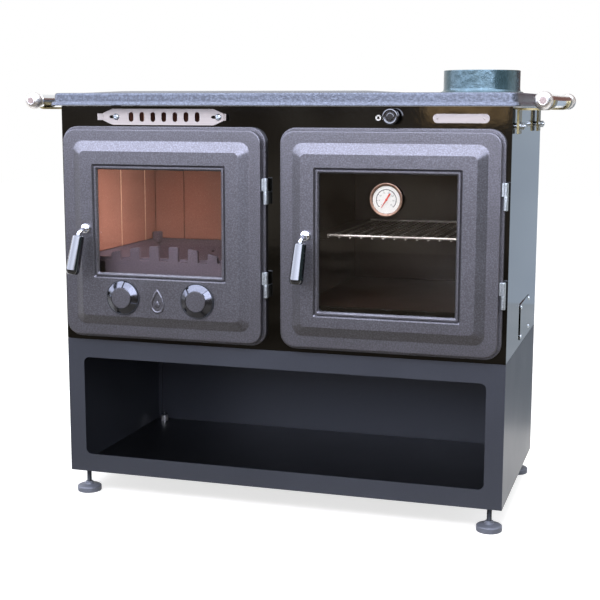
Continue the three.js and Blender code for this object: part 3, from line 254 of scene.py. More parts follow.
def curve_through(points, steps=6):
    """A smooth path through points"""
    points = [Vector(point) for point in points]
    padded = [2 * points[0] - points[1], *points, 2 * points[-1] - points[-2]]
    path = []
    for a, b, c, d in zip(padded, padded[1:], padded[2:], padded[3:]):
        for t in shares(steps)[:-1]:
            point = 2 * b + (c - a) * t
            point += (2 * a - 5 * b + 4 * c - d) * t**2
            point += (3 * b - a - 3 * c + d) * t**3
            path.append(0.5 * point)
    return [*path, points[-1]]


def billet(across, deep, up, corner, edge):
    """A block with rounded upright corners and eased ends"""
    levels = ((edge, up[0]), (0, up[0] + edge), (0, up[1] - edge), (edge, up[1]))
    return loft([laid(inset_in(across, deep, inset, corner, 4), z, "up") for inset, z in levels])


def placed(at, degrees=0.0, axis="Y"):
    """A turn about an axis, then a move to a point"""
    return Matrix.Translation(at) @ Matrix.Rotation(math.radians(degrees), 4, axis)


def moved(shape, matrix):
    points, faces = shape
    return [tuple(matrix @ Vector(point)) for point in points], faces


def show(name, mesh):
    piece = bpy.data.objects.new(name, mesh)
    bpy.context.scene.collection.objects.link(piece)
    return piece


def make(name, finish, shapes, on, instead_of=(), crease=35, ease=0.0):
    """A piece of one finish that rides with a node's body and may stand for nodes"""
    points, faces = [], []
    for shape_points, shape_faces in shapes:
        faces += [tuple(index + len(points) for index in face) for face in shape_faces]
        points += [(x * MM, FACE + y * MM, z * MM) for x, y, z in shape_points]
    mesh = bpy.data.meshes.new(name)
    mesh.from_pydata(points, [], faces)
    work = bmesh.new()
    work.from_mesh(mesh)
    bmesh.ops.remove_doubles(work, verts=work.verts, dist=WELD)
    bmesh.ops.dissolve_degenerate(work, edges=work.edges, dist=WELD)
    bmesh.ops.recalc_face_normals(work, faces=work.faces)
    work.to_mesh(mesh)
    work.free()
    mesh.shade_smooth()
    mesh.set_sharp_from_angle(angle=math.radians(crease))
    mesh.materials.append(finish)
    piece = show(name, mesh)
    if ease:
        soften_edges(piece, ease)
    else:
        broad_faces_stay_flat(piece)
    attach(piece, home[on])
    if instead_of:
        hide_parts(*instead_of)
    return piece


def stand_in(name, finish, shapes, node, **how):
    """A piece that stands for a node"""
    return make(name, finish, shapes, node, [node], **how)


def broad_faces_stay_flat(piece):
    """Shades by the larger faces, so that a small rounding doesn't bend the look of the flat beside it"""
    piece.modifiers.new("flat faces", "WEIGHTED_NORMAL").keep_sharp = True


def soften_edges(piece, width):
    bevel = piece.modifiers.new("eased edges", "BEVEL")
    bevel.width = width * MM
    bevel.segments = 2
    bevel.limit_method = "ANGLE"
    bevel.angle_limit = math.radians(40)
    bevel.harden_normals = True


def dress(node, finish, ease=0.0):
    """Gives a node that keeps its own solid its finish"""
    piece = frame["nodes"][node]
    for slot in piece.material_slots:
        slot.material = finish
    if ease:
        piece.modifiers.new("joined faces", "WELD").merge_threshold = WELD
        soften_edges(piece, ease)


# Finishes
def linear(colour):
    """An sRGB hex colour as linear light"""
    values = (int(colour[i : i + 2], 16) / 255 for i in (1, 3, 5))
    return (*(v / 12.92 if v <= 0.04045 else ((v + 0.055) / 1.055) ** 2.4 for v in values), 1.0)


def each(size):
    """How many of a pattern's cells of that size there are in a metre"""
    return 1 / (size * MM)


def feed(tree, node, inputs):
    for name, value in inputs.items():
        if isinstance(value, bpy.types.NodeSocket):
            tree.links.new(value, node.inputs[name])
        else:
            node.inputs[name].default_value = value


def add(tree, kind, inputs, **settings):
    """Adds a node with its settings, and sets or links its inputs"""
    node = tree.nodes.new("ShaderNode" + kind)
    for name, value in settings.items():
        setattr(node, name, value)
    feed(tree, node, inputs)
    return node


def blank(name, slot, colour, roughness, metallic=0.0, **sockets):
    """A material with its shader set, its node tree, its shader and its object's coordinates"""
    material = bpy.data.materials.new(name)
    material.use_nodes = True
    material["slot"] = slot
    tree = material.node_tree
    shader = tree.nodes["Principled BSDF"]
    feed(tree, shader, {"Base Color": linear(colour), "Roughness": roughness, "Metallic": metallic})
    feed(tree, shader, {key.replace("_", " "): value for key, value in sockets.items()})
    return material, tree, shader, add(tree, "TexCoord", {}).outputs["Object"]


GRAIN_FOOT, GRAIN_PEAK = 0.42, 0.66  # of the noise, between which the colour changes
GLOSS_DRIFT = 0.15


def grained(name, slot, colour, other, roughness, grain, relief, patch, metallic=0.0):
    """A finish with a relief of grains, a colour that follows it, and gloss that drifts between patches"""
    material, tree, shader, where = blank(name, slot, colour, roughness, metallic)
    pattern = {"Vector": where, "Scale": each(grain), "Detail": 3.0, "Roughness": 0.6}
    grains = add(tree, "TexNoise", pattern).outputs["Fac"]
    patches = add(tree, "TexNoise", {"Vector": where, "Scale": each(patch), "Detail": 2.0}).outputs["Fac"]
    heights = {"Value": grains, "From Min": GRAIN_FOOT, "From Max": GRAIN_PEAK}
    peaks = add(tree, "MapRange", heights).outputs["Result"]
    tint = add(tree, "Mix", {0: peaks, 6: linear(colour), 7: linear(other)}, data_type="RGBA").outputs[2]
    dull, bright = roughness * (1 + GLOSS_DRIFT), roughness * (1 - GLOSS_DRIFT)
    gloss = add(tree, "MapRange", {"Value": patches, "To Min": bright, "To Max": dull}).outputs["Result"]
    bump = add(tree, "Bump", {"Height": grains, "Strength": 0.6, "Distance": relief * MM}).outputs["Normal"]
    feed(tree, shader, {"Base Color": tint, "Roughness": gloss, "Normal": bump})
    return material


def waved(name, slot, colour, roughness, wave, detail, strength, depth, **sockets):
    """A smooth glossy finish over a slight waviness"""
    material, tree, shader, where = blank(name, slot, colour, roughness, **sockets)
    waves = add(tree, "TexNoise", {"Vector": where, "Scale": each(wave), "Detail": detail}).outputs["Fac"]
    bump = add(tree, "Bump", {"Height": waves, "Strength": strength, "Distance": depth * MM})
    feed(tree, shader, {"Normal": bump.outputs["Normal"]})
    return material


def polished_chrome():
    """Bright nickel-chrome plate, with faint marks of the polishing wheel in its gloss"""
    material, tree, shader, where = blank("polished_chrome_plate", "chrome", "#dfe1e4", 0.1, 1.0)
    marks = add(tree, "TexNoise", {"Vector": where, "Scale": each(12), "Detail": 4.0}).outputs["Fac"]
    gloss = add(tree, "MapRange", {"Value": marks, "To Min": 0.05, "To Max": 0.18})
    feed(tree, shader, {"Roughness": gloss.outputs["Result"]})
    return material


def brushed_stainless():
    """Rolled stainless sheet: pale warm grey, its fine brushing along the slider drawn at 1.2 mm to show"""
    material, tree, shader, where = blank("brushed_stainless_sheet", "stainless", "#a29994", 0.42, 0.4)
    stretch = add(tree, "Mapping", {"Vector": where, "Scale": (0.02, 1.0, 1.0)}).outputs["Vector"]
    lines = add(tree, "TexNoise", {"Vector": stretch, "Scale": each(1.2), "Detail": 2.0}).outputs["Fac"]
    greys = {0: lines, 6: linear("#9b928d"), 7: linear("#b0a8a4")}
    tint = add(tree, "Mix", greys, data_type="RGBA").outputs[2]
    bump = add(tree, "Bump", {"Height": lines, "Strength": 0.2, "Distance": 0.05 * MM}).outputs["Normal"]
    feed(tree, shader, {"Base Color": tint, "Normal": bump})
    return material


def clear_glass(name, colour, roughness, passed, smear, detail, haze):
    """Glass under faint smears, and the mix of it with clear air, whose share its maker sets"""
    material, tree, shader, where = blank(name, "door_glass", colour, roughness, Transmission_Weight=1.0)
    smears = add(tree, "TexNoise", {"Vector": where, "Scale": each(smear), "Detail": detail}).outputs["Fac"]
    gloss = add(tree, "MapRange", {"Value": smears, "To Min": 0.0, "To Max": haze})
    feed(tree, shader, {"Roughness": gloss.outputs["Result"]})
    clear = add(tree, "BsdfTransparent", {"Color": linear(passed)})
    both = add(tree, "MixShader", {1: shader.outputs["BSDF"], 2: clear.outputs["BSDF"]})
    feed(tree, tree.nodes["Material Output"], {"Surface": both.outputs["Shader"]})
    return material, tree, both


def ceramic_glass():
    """Clear glass-ceramic with a faint smoke tint; lamp light passes it, so what is inside stays lit"""
    material, tree, both = clear_glass("clear_ceramic_glass", "#e9e6e0", 0.02, "#f2f0ec", 60, 2.0, 0.03)
    rays = add(tree, "LightPath", {}).outputs
    of_lamps = {0: rays["Is Shadow Ray"], 1: rays["Is Diffuse Ray"]}
    feed(tree, both, {0: add(tree, "Math", of_lamps, operation="MAXIMUM").outputs["Value"]})
    return material


def dial_crystal():
    """Thin clear cover glass of the dial: what is behind it is seen almost as it is, under a faint gleam"""
    material, tree, both = clear_glass("thin_dial_crystal", "#ffffff", 0.03, "#fbfbfa", 8, 3.0, 0.06)
    seen = add(tree, "LightPath", {}).outputs["Is Camera Ray"]
    share = add(tree, "MapRange", {"Value": seen, "To Min": 1.0, "To Max": 0.94})
    feed(tree, both, {0: share.outputs["Result"]})
    return material


def fired_clay():
    """Pressed firebrick: dull terracotta with paler grog, darker towards the top of the lining"""
    material, tree, shader, where = blank("pressed_firebrick", "firebrick", "#9a6d61", 0.92)
    height = add(tree, "SeparateXYZ", {"Vector": where}).outputs["Z"]
    grog = add(tree, "TexNoise", {"Vector": where, "Scale": each(4), "Detail": 4.0}).outputs["Fac"]
    drift = add(tree, "TexNoise", {"Vector": where, "Scale": each(120), "Detail": 2.0}).outputs["Fac"]
    browns = {0: grog, 6: linear("#8d5d54"), 7: linear("#a87a70")}
    clay = add(tree, "Mix", browns, data_type="RGBA").outputs[2]
    ragged = add(tree, "Math", {0: drift, 1: 0.12, 2: height}, operation="MULTIPLY_ADD").outputs["Value"]
    # the colour darkens towards the top of the lining, to near black at most nine tenths of the way
    low, high = (end * MM for end in spans("firebrick_lining")[2])
    darkening_span = {"Value": ragged, "From Min": low + 0.1, "From Max": high + 0.08, "To Max": 0.9}
    upward_darkening = add(tree, "MapRange", darkening_span).outputs["Result"]
    tint = add(tree, "Mix", {0: upward_darkening, 6: clay, 7: linear("#1d1512")}, data_type="RGBA").outputs[2]
    bump = add(tree, "Bump", {"Height": grog, "Strength": 0.6, "Distance": 0.4 * MM}).outputs["Normal"]
    feed(tree, shader, {"Base Color": tint, "Normal": bump})
    return material


def braided_rope():
    """Glass-fibre sealing rope: grey yarn in a 4 mm diagonal braid, soft and matt"""
    material, tree, shader, where = blank("braided_glass_rope", "grey_plastic", "#5a5854", 0.95)
    braid = {"Vector": where, "Scale": each(4) / math.tau, "Distortion": 1.5}
    strands = add(tree, "TexWave", braid, bands_direction="DIAGONAL").outputs["Fac"]
    greys = {0: strands, 6: linear("#3b3a38"), 7: linear("#7a7771")}
    tint = add(tree, "Mix", greys, data_type="RGBA").outputs[2]
    bump = add(tree, "Bump", {"Height": strands, "Strength": 0.8, "Distance": 0.5 * MM}).outputs["Normal"]
    feed(tree, shader, {"Base Color": tint, "Normal": bump})
    return material


# Sand-cast iron under graphite stove paint: a pebbled skin that glitters in specks and goes pale where it
# faces the sky. The real grain of about 1 mm is drawn at 2.6 mm so that it shows.
door_iron = grained("sand_cast_door_iron", "door_iron", "#525053", "#67666c", 0.36, 2.6, 0.4, 70, 0.65)
# The hob's casting is bluer and coarser; its grain of 2 mm is drawn at 4 mm
hob_iron = grained("sand_cast_hob_iron", "hob_iron", "#3c3f47", "#585d67", 0.36, 4.0, 0.7, 90, 0.5)
# Bare iron castings of the fire: matt purple-brown with a rough sand skin
fire_iron = grained("fire_cast_iron", "fire_iron", "#5c5262", "#6f6576", 0.6, 2.6, 0.4, 40, 0.2)
# Powder coat on the base: an even satin slate with a faint orange peel
slate_coat = grained("slate_powder_coat", "slate_paint", "#30333b", "#343740", 0.4, 1.6, 0.05, 160, 0.1)
# Powder coat of the log store's floor: the same coat, smoother, darkened to near black as painted shade for
# the dim inside of the store
store_floor_shade_coat = grained("powder_coat_darkened_as_shade", "slate_paint", "#070809", "#0a0b0d", 0.3, 1.6, 0.02, 160)
# Enamel of the flue collar over a rippled casting: dark teal that catches wet-looking highlights
collar_enamel = grained(
    "rippled_collar_enamel", "collar_enamel", "#3f555b", "#4c636b", 0.22, 15, 1.1, 50, 0.4
)
# Moulded feet in grey polyamide, matt with a fine spark-eroded skin
foot_plastic = grained("moulded_grey_polyamide", "grey_plastic", "#5d616c", "#6b6f7a", 0.5, 1.4, 0.1, 30)
# Zinc-plated steel of the screws, hinges and bolts: grey, slightly blue, with a soft gloss
zinc = grained("blue_zinc_plate", "chrome", "#a3a9ac", "#bfc5c6", 0.3, 3.0, 0.03, 9, 0.85)
# Yellow-passivated zinc: straw gold that drifts to green and pink over a few centimetres
yellow_zinc = grained(
    "yellow_passivated_zinc", "yellow_zinc", "#736845", "#958b68", 0.34, 16, 0.05, 22, 0.8
)
# Blackened steel of the feet's stems: dull near-black with an oily sheen; on the air valves' rims the same
# near-black is a painted shadow line round each valve
blackened_steel_and_shadow_paint = grained("blackened_steel_and_shadow_paint", "sheet_steel", "#1e2024", "#2a2c31", 0.45, 2.0, 0.05, 20, 0.3)
# Satin nickel of the rails' end balls and the base's nuts: pale warm grey, its gloss softened by tumbling
satin_nickel = grained("satin_nickel_plate", "chrome", "#cbc6c2", "#dad6d2", 0.3, 6.0, 0.02, 14, 0.82)
# Faced ends of those balls: a grey disc whose pinkish tint is a painted reflection
face_with_painted_reflection = grained("steel_face_painted_reflection", "stainless", "#8f7f7a", "#a4948f", 0.4, 2.0, 0.03, 10, 0.4)
# Cold-rolled sheet of the shell and the ash pan, grey with a mill finish
mill_steel = grained("cold_rolled_sheet", "sheet_steel", "#6a6c70", "#7c7e82", 0.42, 8, 0.03, 60, 0.85)
# Vitreous enamel inside the oven: dark brown, glassy, with small flecks
oven_enamel = grained("flecked_oven_enamel", "oven_enamel", "#21120b", "#281810", 0.3, 3.0, 0.01, 80)
# Chromed wire of the rack, dulled by heat to a soft grey gleam
dulled_chrome = grained("heat_dulled_chrome", "chrome", "#c9c4bf", "#dedad5", 0.38, 3.0, 0.02, 30, 0.6)
# Stove paint of the air valves: the doors' graphite, sprayed over turned faces, smooth and glossy
valve_paint = grained("glossy_graphite_paint", "door_iron", "#4c4d52", "#55565c", 0.15, 3.0, 0.04, 30, 0.85)
# Strips in the joints, paler than the bricks: a painted highlight of the lit brick edges
joint_strip_highlight = grained("pale_joints_painted_highlight", "firebrick", "#c3a08f", "#d3b3a2", 0.95, 2.0, 0.3, 40)
# White stoving enamel of the dial and the index ring: clean and slightly glossy
white_enamel = grained("white_stoving_enamel", "stainless", "#f4f3f1", "#fbfaf8", 0.3, 2.0, 0.01, 12)
# Printing ink of the dial: flat near-black
dial_ink = grained("black_dial_ink", "black_grip", "#23211f", "#2e2c2a", 0.6, 1.0, 0.01, 10)
# Red lacquer of the needle: clear orange-red with a light gloss
needle_red = grained("red_needle_lacquer", "needle_red", "#cf3a26", "#dc4a34", 0.35, 1.5, 0.01, 6)
# Copper-toned steel of the thermometer's bezel: warm satin metal, slightly heat-tinted
heat_tinted = grained("heat_tinted_bezel", "stainless", "#6e5646", "#8b6e5a", 0.3, 5.0, 0.03, 10, 0.8)
# High-gloss black enamel: almost black, with the small ripple of a fired coat
black_enamel = waved(
    "fired_black_enamel", "black_enamel", "#090806", 0.07, 10, 2.0, 0.25, 0.25, Coat_Weight=0.3
)
# Compression-moulded black phenolic: deep gloss like lacquer, with a slight waviness
phenolic = waved(
    "moulded_black_phenolic", "black_grip", "#0e1218", 0.16, 18, 1.0, 0.15, 0.3, IOR=1.6, Coat_Weight=1.0
)
glass = ceramic_glass()
crystal = dial_crystal()
chrome = polished_chrome()
stainless = brushed_stainless()
rope = braided_rope()
firebrick = fired_clay()

# Base
STORE_SIDE, STORE_TOP, STORE_LOW, STORE_CORNER = 35.3, 38, 37, 12  # margins of the log store's opening
FLOOR_SHEET = 3
FOOT_NUT = (9, 12, 5.4)  # radius, height and bore
PAD_TOP = 20
THREAD_PITCH, THREAD_ROOT, THREAD_CREST = 1.75, 4.5, 5.0
FEET = [f"foot_{end}_{side}" for end in ("front", "rear") for side in SIDES]


def base():
    xs, ys, zs = spans("base_front")
    opening = rounded(grow(xs, -STORE_SIDE), (zs[0] + STORE_LOW, zs[1] - STORE_TOP), STORE_CORNER, 12)
    sheet = plate(rounded(xs, zs, 1), ys, [opening])
    stand_in("log_store_front", slate_coat, [sheet], "base_front", ease=0.6)
    for node in ("base_side_left", "base_side_right", "base_back"):
        dress(node, slate_coat, ease=0.8)
    xs, ys, zs = spans("base_floor")
    top = zs[0] + FLOOR_SHEET
    sheet = plate(rounded(xs, ys, 1), (zs[0], top), way="up")
    # the floor's near-black coat is painted shade inside the log store
    stand_in("log_store_floor", store_floor_shade_coat, [sheet], "base_floor", ease=0.5)
    for node in FEET:
        nut = hex_nut(*FOOT_NUT, "up", (*middle_of(node)[:2], top))
        make(f"{node}_nut", satin_nickel, [nut], "base_floor")
    for node in FEET:
        levelling_foot(node)


def levelling_foot(node):
    """A pad with a rounded shoulder and a threaded stem"""
    xs, _, zs = spans(node)
    at = (*middle_of(node)[:2], 0)
    wide = (xs[1] - xs[0]) / 2
    pad = [(0, 0), (wide - 1, 0), (wide, 1), (wide, 10.5), (wide - 3, 12.5), (9, 14.5)]
    pad = softened([*pad, (8, PAD_TOP), (0, PAD_TOP)], [0, 0.4, 0.4, 1, 1, 1.5, 1, 0])
    stand_in(f"{node}_pad", foot_plastic, [turned(pad, "up", at, 64)], node)
    thread = [(0, PAD_TOP)]
    for i in range(int((zs[1] - PAD_TOP) / THREAD_PITCH)):
        root, crest = (PAD_TOP + (i + part) * THREAD_PITCH for part in (0, 0.5))
        thread += [(THREAD_ROOT, root), (THREAD_CREST, crest)]
    thread += [(THREAD_ROOT, zs[1] - 0.5), (THREAD_ROOT - 1, zs[1]), (0, zs[1])]
    make(f"{node}_stem", blackened_steel_and_shadow_paint, [turned(thread, "up", at, 32)], node)


# Body casing
MOUTH_INSET, MOUTH_CORNER = 30, 8  # from a door's edge in to the mouth behind it
OVEN_MOUTH_LOW, OVEN_MOUTH_TOP = 78.3, 58.1
AIR_SLOTS, AIR_PITCH, AIR_WIDTH, AIR_HEIGHT, AIR_SHIFT = 7, 23.3, 10, 19, 3.2
SCREW_SPAN, SCREW_SHIFT, SCREW_RADIUS = 215.7, 9, 6.4
SLIDER_SHEET = 1.5
HATCH_SHEET, HATCH_MARGIN = 1.5, 7
BACK_COLUMNS, BACK_ROWS, BACK_MARGIN = 5, 3, 12

DOOR_X = {door: spans(f"{door}_door")[0] for door in DOORS}
DOOR_Z = spans("firebox_door")[2]
PULL_X, PULL_Z = 230, middle_of("damper_pull")[2]
SLIDER_X, _, SLIDER_Z = middle_of("air_slider")


def slot_outline(x, z, width, height):
    return rounded(about(x, width), about(z, height), min(width, height) / 2 - 0.01, 8)


def air_slots():
    row = about(SLIDER_X + AIR_SHIFT, (AIR_SLOTS - 1) * AIR_PITCH)
    return [slot_outline(x, SLIDER_Z, AIR_WIDTH, AIR_HEIGHT) for x in spread(row, AIR_SLOTS)]


def screw_places():
    return [SLIDER_X + SCREW_SHIFT + end * SCREW_SPAN / 2 for end in (-1, 1)]


def casing():
    xs, _, zs = spans("front_panel")
    fire_mouth = inset_in(DOOR_X["firebox"], DOOR_Z, MOUTH_INSET, MOUTH_CORNER)
    oven_up = (DOOR_Z[0] + OVEN_MOUTH_LOW, DOOR_Z[1] - OVEN_MOUTH_TOP)
    oven_mouth = rounded(grow(DOOR_X["oven"], -MOUTH_INSET), oven_up, MOUTH_CORNER)
    holes = [fire_mouth, oven_mouth, circle(PULL_X, PULL_Z, 4.5), *air_slots()]
    panel = plate(rounded(xs, zs, 1.5), (0, SHEET), holes)
    stand_in("enamelled_front", black_enamel, [panel], "front_panel", ease=0.4)
    head = 2 * SEAT + SLIDER_SHEET
    for side, x in zip(SIDES, screw_places()):
        shank = [(0, -SHEET), (2.4, -SHEET), (2.4, head + 0.5), (0, head + 0.5)]
        shapes = [turned(shank, "forward", (x, 0, SLIDER_Z), 16)]
        shapes.append(pan_head(SCREW_RADIUS, 2.6, "forward", (x, -head, SLIDER_Z)))
        make(f"slider_screw_{side}", zinc, shapes, "front_panel")
    for node in ("side_panel_left", "side_panel_right", "back_panel", "body_floor"):
        dress(node, black_enamel, ease=0.5)
    cleaning_hatch()
    back_screws()


def cleaning_hatch():
    xs, ys, zs = spans("cleaning_hatch")
    face = xs[0] + HATCH_SHEET
    hatch = plate(rounded(ys, zs, 3), (xs[0], face), way="right")
    stand_in("hatch_plate", black_enamel, [hatch], "cleaning_hatch", ease=0.4)
    places = ((face, y, z) for y in grow(ys, -HATCH_MARGIN) for z in grow(zs, -HATCH_MARGIN))
    heads = [pan_head(4.2, xs[1] - face, "right", place) for place in places]
    make("hatch_screws", zinc, heads, "cleaning_hatch")


def back_screws():
    """Pan heads round the edge of the back panel"""
    xs, ys, zs = spans("back_panel")
    columns, rows = spread(grow(xs, -BACK_MARGIN), BACK_COLUMNS), spread(grow(zs, -BACK_MARGIN), BACK_ROWS)
    inner = [(x, z) for x in columns[1:-1] for z in rows[1:-1]]
    places = [(x, z) for x in columns for z in rows if (x, z) not in inner]
    heads = [rear_head(4.0, 1.4, (x, ys[1], z)) for x, z in places]
    make("back_panel_screws", zinc, heads, "back_panel")


# Hob
LIP_HEIGHT, LIP_STEP = 7.5, 5.2
HOB_CORNER, HOB_PLATE, HOB_RIM = 16, 10, 31
CROWN_RISE, CROWN_SLOPE, CROWN_END, CROWN_STEPS = 5, 100, 34, 8
CROWN_MARGINS = (20, 221)  # left and right
RING_AT, RING_RADIUS, RING_LEDGE = (-225.0, 225.0), 105, 9
LID_RADIUS, LID_LEDGE, LID_SEAT = 66, 7, 5.3
LID_SLOT, LID_SLOT_ENDS = 8, (-52, -30)  # its width, and its ends from the lid's middle
FLUE_AT, FLUE_RADIUS, FLUE_WALL, FLANGE_RADIUS = (338.0, 352.0), 79, 5, 85.5


def hob():
    xs, ys, zs = spans("hob_plate")
    top, lip, in_plate = zs[1] - CROWN_RISE, zs[0] + LIP_HEIGHT, LIP_STEP + 9
    section = [(HOB_RIM, zs[0]), (0, zs[0]), (0, zs[0] + 2.2), (2.0, lip), (LIP_STEP, lip)]
    section = softened([*section, (LIP_STEP + 1, top), (in_plate, top)], [0, 1.0, 1.6, 1.2, 1.2, 4.5, 0])
    edge = loft([laid(inset_in(xs, ys, inset, HOB_CORNER), z, "up") for inset, z in section], "open")
    field_x, field_y = (xs[0] + CROWN_MARGINS[0], xs[1] - CROWN_MARGINS[1]), grow(ys, -CROWN_END)
    flue = circle(*FLUE_AT, FLUE_RADIUS - FLUE_WALL, 64)
    well = circle(*RING_AT, RING_RADIUS + 0.5, 96)
    throat = circle(*RING_AT, RING_RADIUS - RING_LEDGE, 96)
    crown = []
    for share in shares(CROWN_STEPS):
        rise = CROWN_RISE * (1 - math.cos(math.pi * share)) / 2
        crown.append(laid(inset_in(field_x, field_y, share * CROWN_SLOPE, HOB_CORNER), top + rise, "up"))
    field, plateau = ([point[:2] for point in ring] for ring in (crown[0], crown[-1]))
    inner, pocket = (inset_in(xs, ys, inset, HOB_CORNER) for inset in (in_plate, HOB_RIM))
    under, ledge = top - HOB_PLATE, zs[1] - RING_LEDGE - SEAT
    shapes = [
        edge,
        loft(crown, "open"),
        flat_face(inner, top, [field, flue]),
        flat_face(plateau, zs[1], [well]),
        flat_face(pocket, under, [throat, flue]),
        walls(pocket, zs[0], under),
        walls(well, ledge, zs[1]),
        flat_face(well, ledge, [throat]),
        walls(throat, under, ledge),
        walls(flue, under, top),
    ]
    stand_in("hob_casting", hob_iron, shapes, "hob_plate", crease=40)
    hob_ring_and_lid(zs[1])
    flue_collar()


def hob_ring_and_lid(top):
    low, well, inside = top - RING_LEDGE, LID_RADIUS + 0.5, LID_RADIUS - LID_LEDGE
    section = [(inside, low), (RING_RADIUS, low), (RING_RADIUS, top), (well, top)]
    section += [(well, top - LID_SEAT), (inside, top - LID_SEAT)]
    section = softened(section, [0.5, 0.8, 1.0, 0.8, 0.4, 0.5], around=True)
    stand_in("cast_hob_ring", hob_iron, [turned(section, "up", (*RING_AT, 0), 96, "around")], "hob_ring")
    slot_y = tuple(RING_AT[1] + end for end in LID_SLOT_ENDS)
    slot = rounded(about(RING_AT[0], LID_SLOT), slot_y, LID_SLOT / 2 - 0.1, 8)
    outline = circle(*RING_AT, LID_RADIUS, 96)
    lid = plate(outline, (top - 3.3, top), [slot], "up")
    floor = plate(outline, (top - 5, top - 3.35), way="up")
    stand_in("cast_hob_lid", hob_iron, [lid, floor], "hob_lid", ease=0.5)


def flue_collar():
    """A socket on a flange with a fillet"""
    low, high = spans("flue_collar")[2]
    bore = FLUE_RADIUS - FLUE_WALL
    section = [(bore, low), (FLANGE_RADIUS, low), (FLANGE_RADIUS, low + 4)]
    section += [(FLUE_RADIUS, low + 6), (FLUE_RADIUS, high), (bore, high)]
    section = softened(section, [0.4, 1, 1.5, 6, 1.4, 1.2], around=True)
    socket = turned(section, "up", (*FLUE_AT, 0), 96, "around")
    stand_in("flue_socket", collar_enamel, [socket], "flue_collar")


# Side rails
RAIL_RADIUS = 12.5
BALL_RADIUS, BALL_FACE, BALL_STEPS = 17, 8, 24
STRIP = 4
NUT_RADIUS = 7.5
STRIP_DROP = 33  # from the strip's arm down to its bolt
WRAP, CURL_STEPS = math.radians(95), 16  # of the strip round the rail


def rails():
    for side, hand in zip(SIDES, (-1, 1)):
        node = f"rail_{side}"
        near, far = spans(node)[1]
        x, _, z = middle_of(node)
        tube = [(0, -far), (RAIL_RADIUS - 1, -far), (RAIL_RADIUS, -far + 1)]
        tube += [(RAIL_RADIUS, -near - 1), (RAIL_RADIUS - 1, -near), (0, -near)]
        stand_in(f"rail_tube_{side}", chrome, [turned(tube, "forward", (x, 0, z), 64)], node)
        for end, way in (("front", 1), ("rear", -1)):
            rail_end(f"rail_end_{end}_{side}", x, z, way)
            rail_bracket(f"rail_bracket_{end}_{side}", hand, x, z)


def rail_end(node, x, z, way):
    """A turned ball with a flat at both ends and a faced disc in the outer one"""
    ys = spans(node)[1]
    at, reach = (x, middle(ys), z), (ys[1] - ys[0]) / 2
    start = math.asin(BALL_FACE / BALL_RADIUS)
    angles = spread((start, math.pi - start), BALL_STEPS + 1)
    sphere = [(BALL_RADIUS * math.sin(angle), -BALL_RADIUS * math.cos(angle)) for angle in angles]
    ball = [(0, -reach), *sphere, (BALL_FACE - 1, reach), (BALL_FACE - 1.4, reach - 0.2), (0, reach - 0.2)]
    disc = [(0, reach - 1), (BALL_FACE - 1.6, reach - 1), (BALL_FACE - 1.6, reach - 0.1), (0, reach - 0.05)]
    ball, disc = ([(radius, way * height) for radius, height in profile] for profile in (ball, disc))
    stand_in(f"{node}_ball", satin_nickel, [turned(ball, "forward", at, 64)], node)
    # the faced disc's pinkish tint is a painted reflection
    make(f"{node}_faced_end", face_with_painted_reflection, [turned(disc, "forward", at, 48)], node)


def rail_bracket(node, hand, rail_x, rail_z):
    """A bent strip with a leg, an arm and a saddle round the rail, and its bolt, washer and nut"""
    _, ys, zs = spans(node)
    panel = spans("side_panel_right")[0][1]
    leg, radius = panel + STRIP, RAIL_RADIUS + SEAT
    outer, bend, arm = leg + STRIP, leg + 2 * STRIP, rail_z - radius - STRIP

    def curl(reach, *ends):
        turns = spread(ends, CURL_STEPS + 1)
        return [(abs(rail_x) + reach * math.sin(t), rail_z - reach * math.cos(t)) for t in turns]

    outline = [*softened([(leg, zs[0]), (outer, zs[0]), (outer, arm), (bend, arm)], [0, 0, 3, 0])]
    outline += curl(radius + STRIP, 0, WRAP) + curl(radius, WRAP, 0)
    outline += softened([(bend, arm + STRIP), (leg, arm + STRIP), (leg, zs[0] + 1)], [0, 6, 0])
    strip = plate([(hand * x, z) for x, z in outline], ys)
    stand_in(f"{node}_strip", yellow_zinc, [strip], node, ease=0.5)
    y, bolt_z = middle(ys), arm + STRIP - STRIP_DROP

    def outward(radius, start, end, *tip):
        profile = [(0, start), (radius, start), (radius, end), *(tip or [(0, end)])]
        return turned([(r, hand * h) for r, h in profile], "right", (0, y, bolt_z), 32)

    washer = outward(8.5, outer + 0.05, outer + 1.4)
    shank = outward(5.5, panel + SEAT, leg - 0.1)
    tip = outward(3.9, outer + 1.5, outer + 9, (3.2, outer + 10), (0, outer + 10))
    seat = placed((hand * (outer + 1.5), y, bolt_z)) @ Matrix.Diagonal((hand, 1, 1, 1))
    nut = moved(hex_nut(NUT_RADIUS, 6.2, 4.0, "right", ORIGIN), seat)
    make(f"{node}_bolt", zinc, [washer, shank, tip, nut], node)


# Doors
GROOVE, LEDGE = 67.5, 10.4  # the groove round the window and the ledge inside it
GROOVE_LOW = {"firebox": 119, "oven": 62.5}
RIM_FACE, RAISED_FACE, DOOR_BACK, DOOR_WALL = -22.0, -34.0, -9.8, 8
DOOR_CORNER, FRAME_OVERLAP = 25, 6
CATCH_REACH, CATCH_BELOW, CATCH_ABOVE = 6, 14, 3
SEAL_INSET, SEAL_RADIUS, SEAL_BACK = 14.5, 2.7, -8.6
CLIP_INSET, CLIP_SHEET, CLIP_WIDTH = 55, 1.5, 16
CLIP_ON_GLASS, CLIP_SCREW, CLIP_END = 6, 7, 13  # from the glass's edge
LEANS = {"firebox": 7.5, "oven": 4}  # degrees of each handle from upright
GRIP_TILT, GRIP_TOP = 10, (0, -30, -12)
SPINDLE_X, SPINDLE_Z, SPINDLE_RADIUS = 53.3, 217, 4.4
TONGUE_Y = (34.2, 37.2)


def spindle_place(door):
    return DOOR_X[door][0] + SPINDLE_X, DOOR_Z[0] + SPINDLE_Z


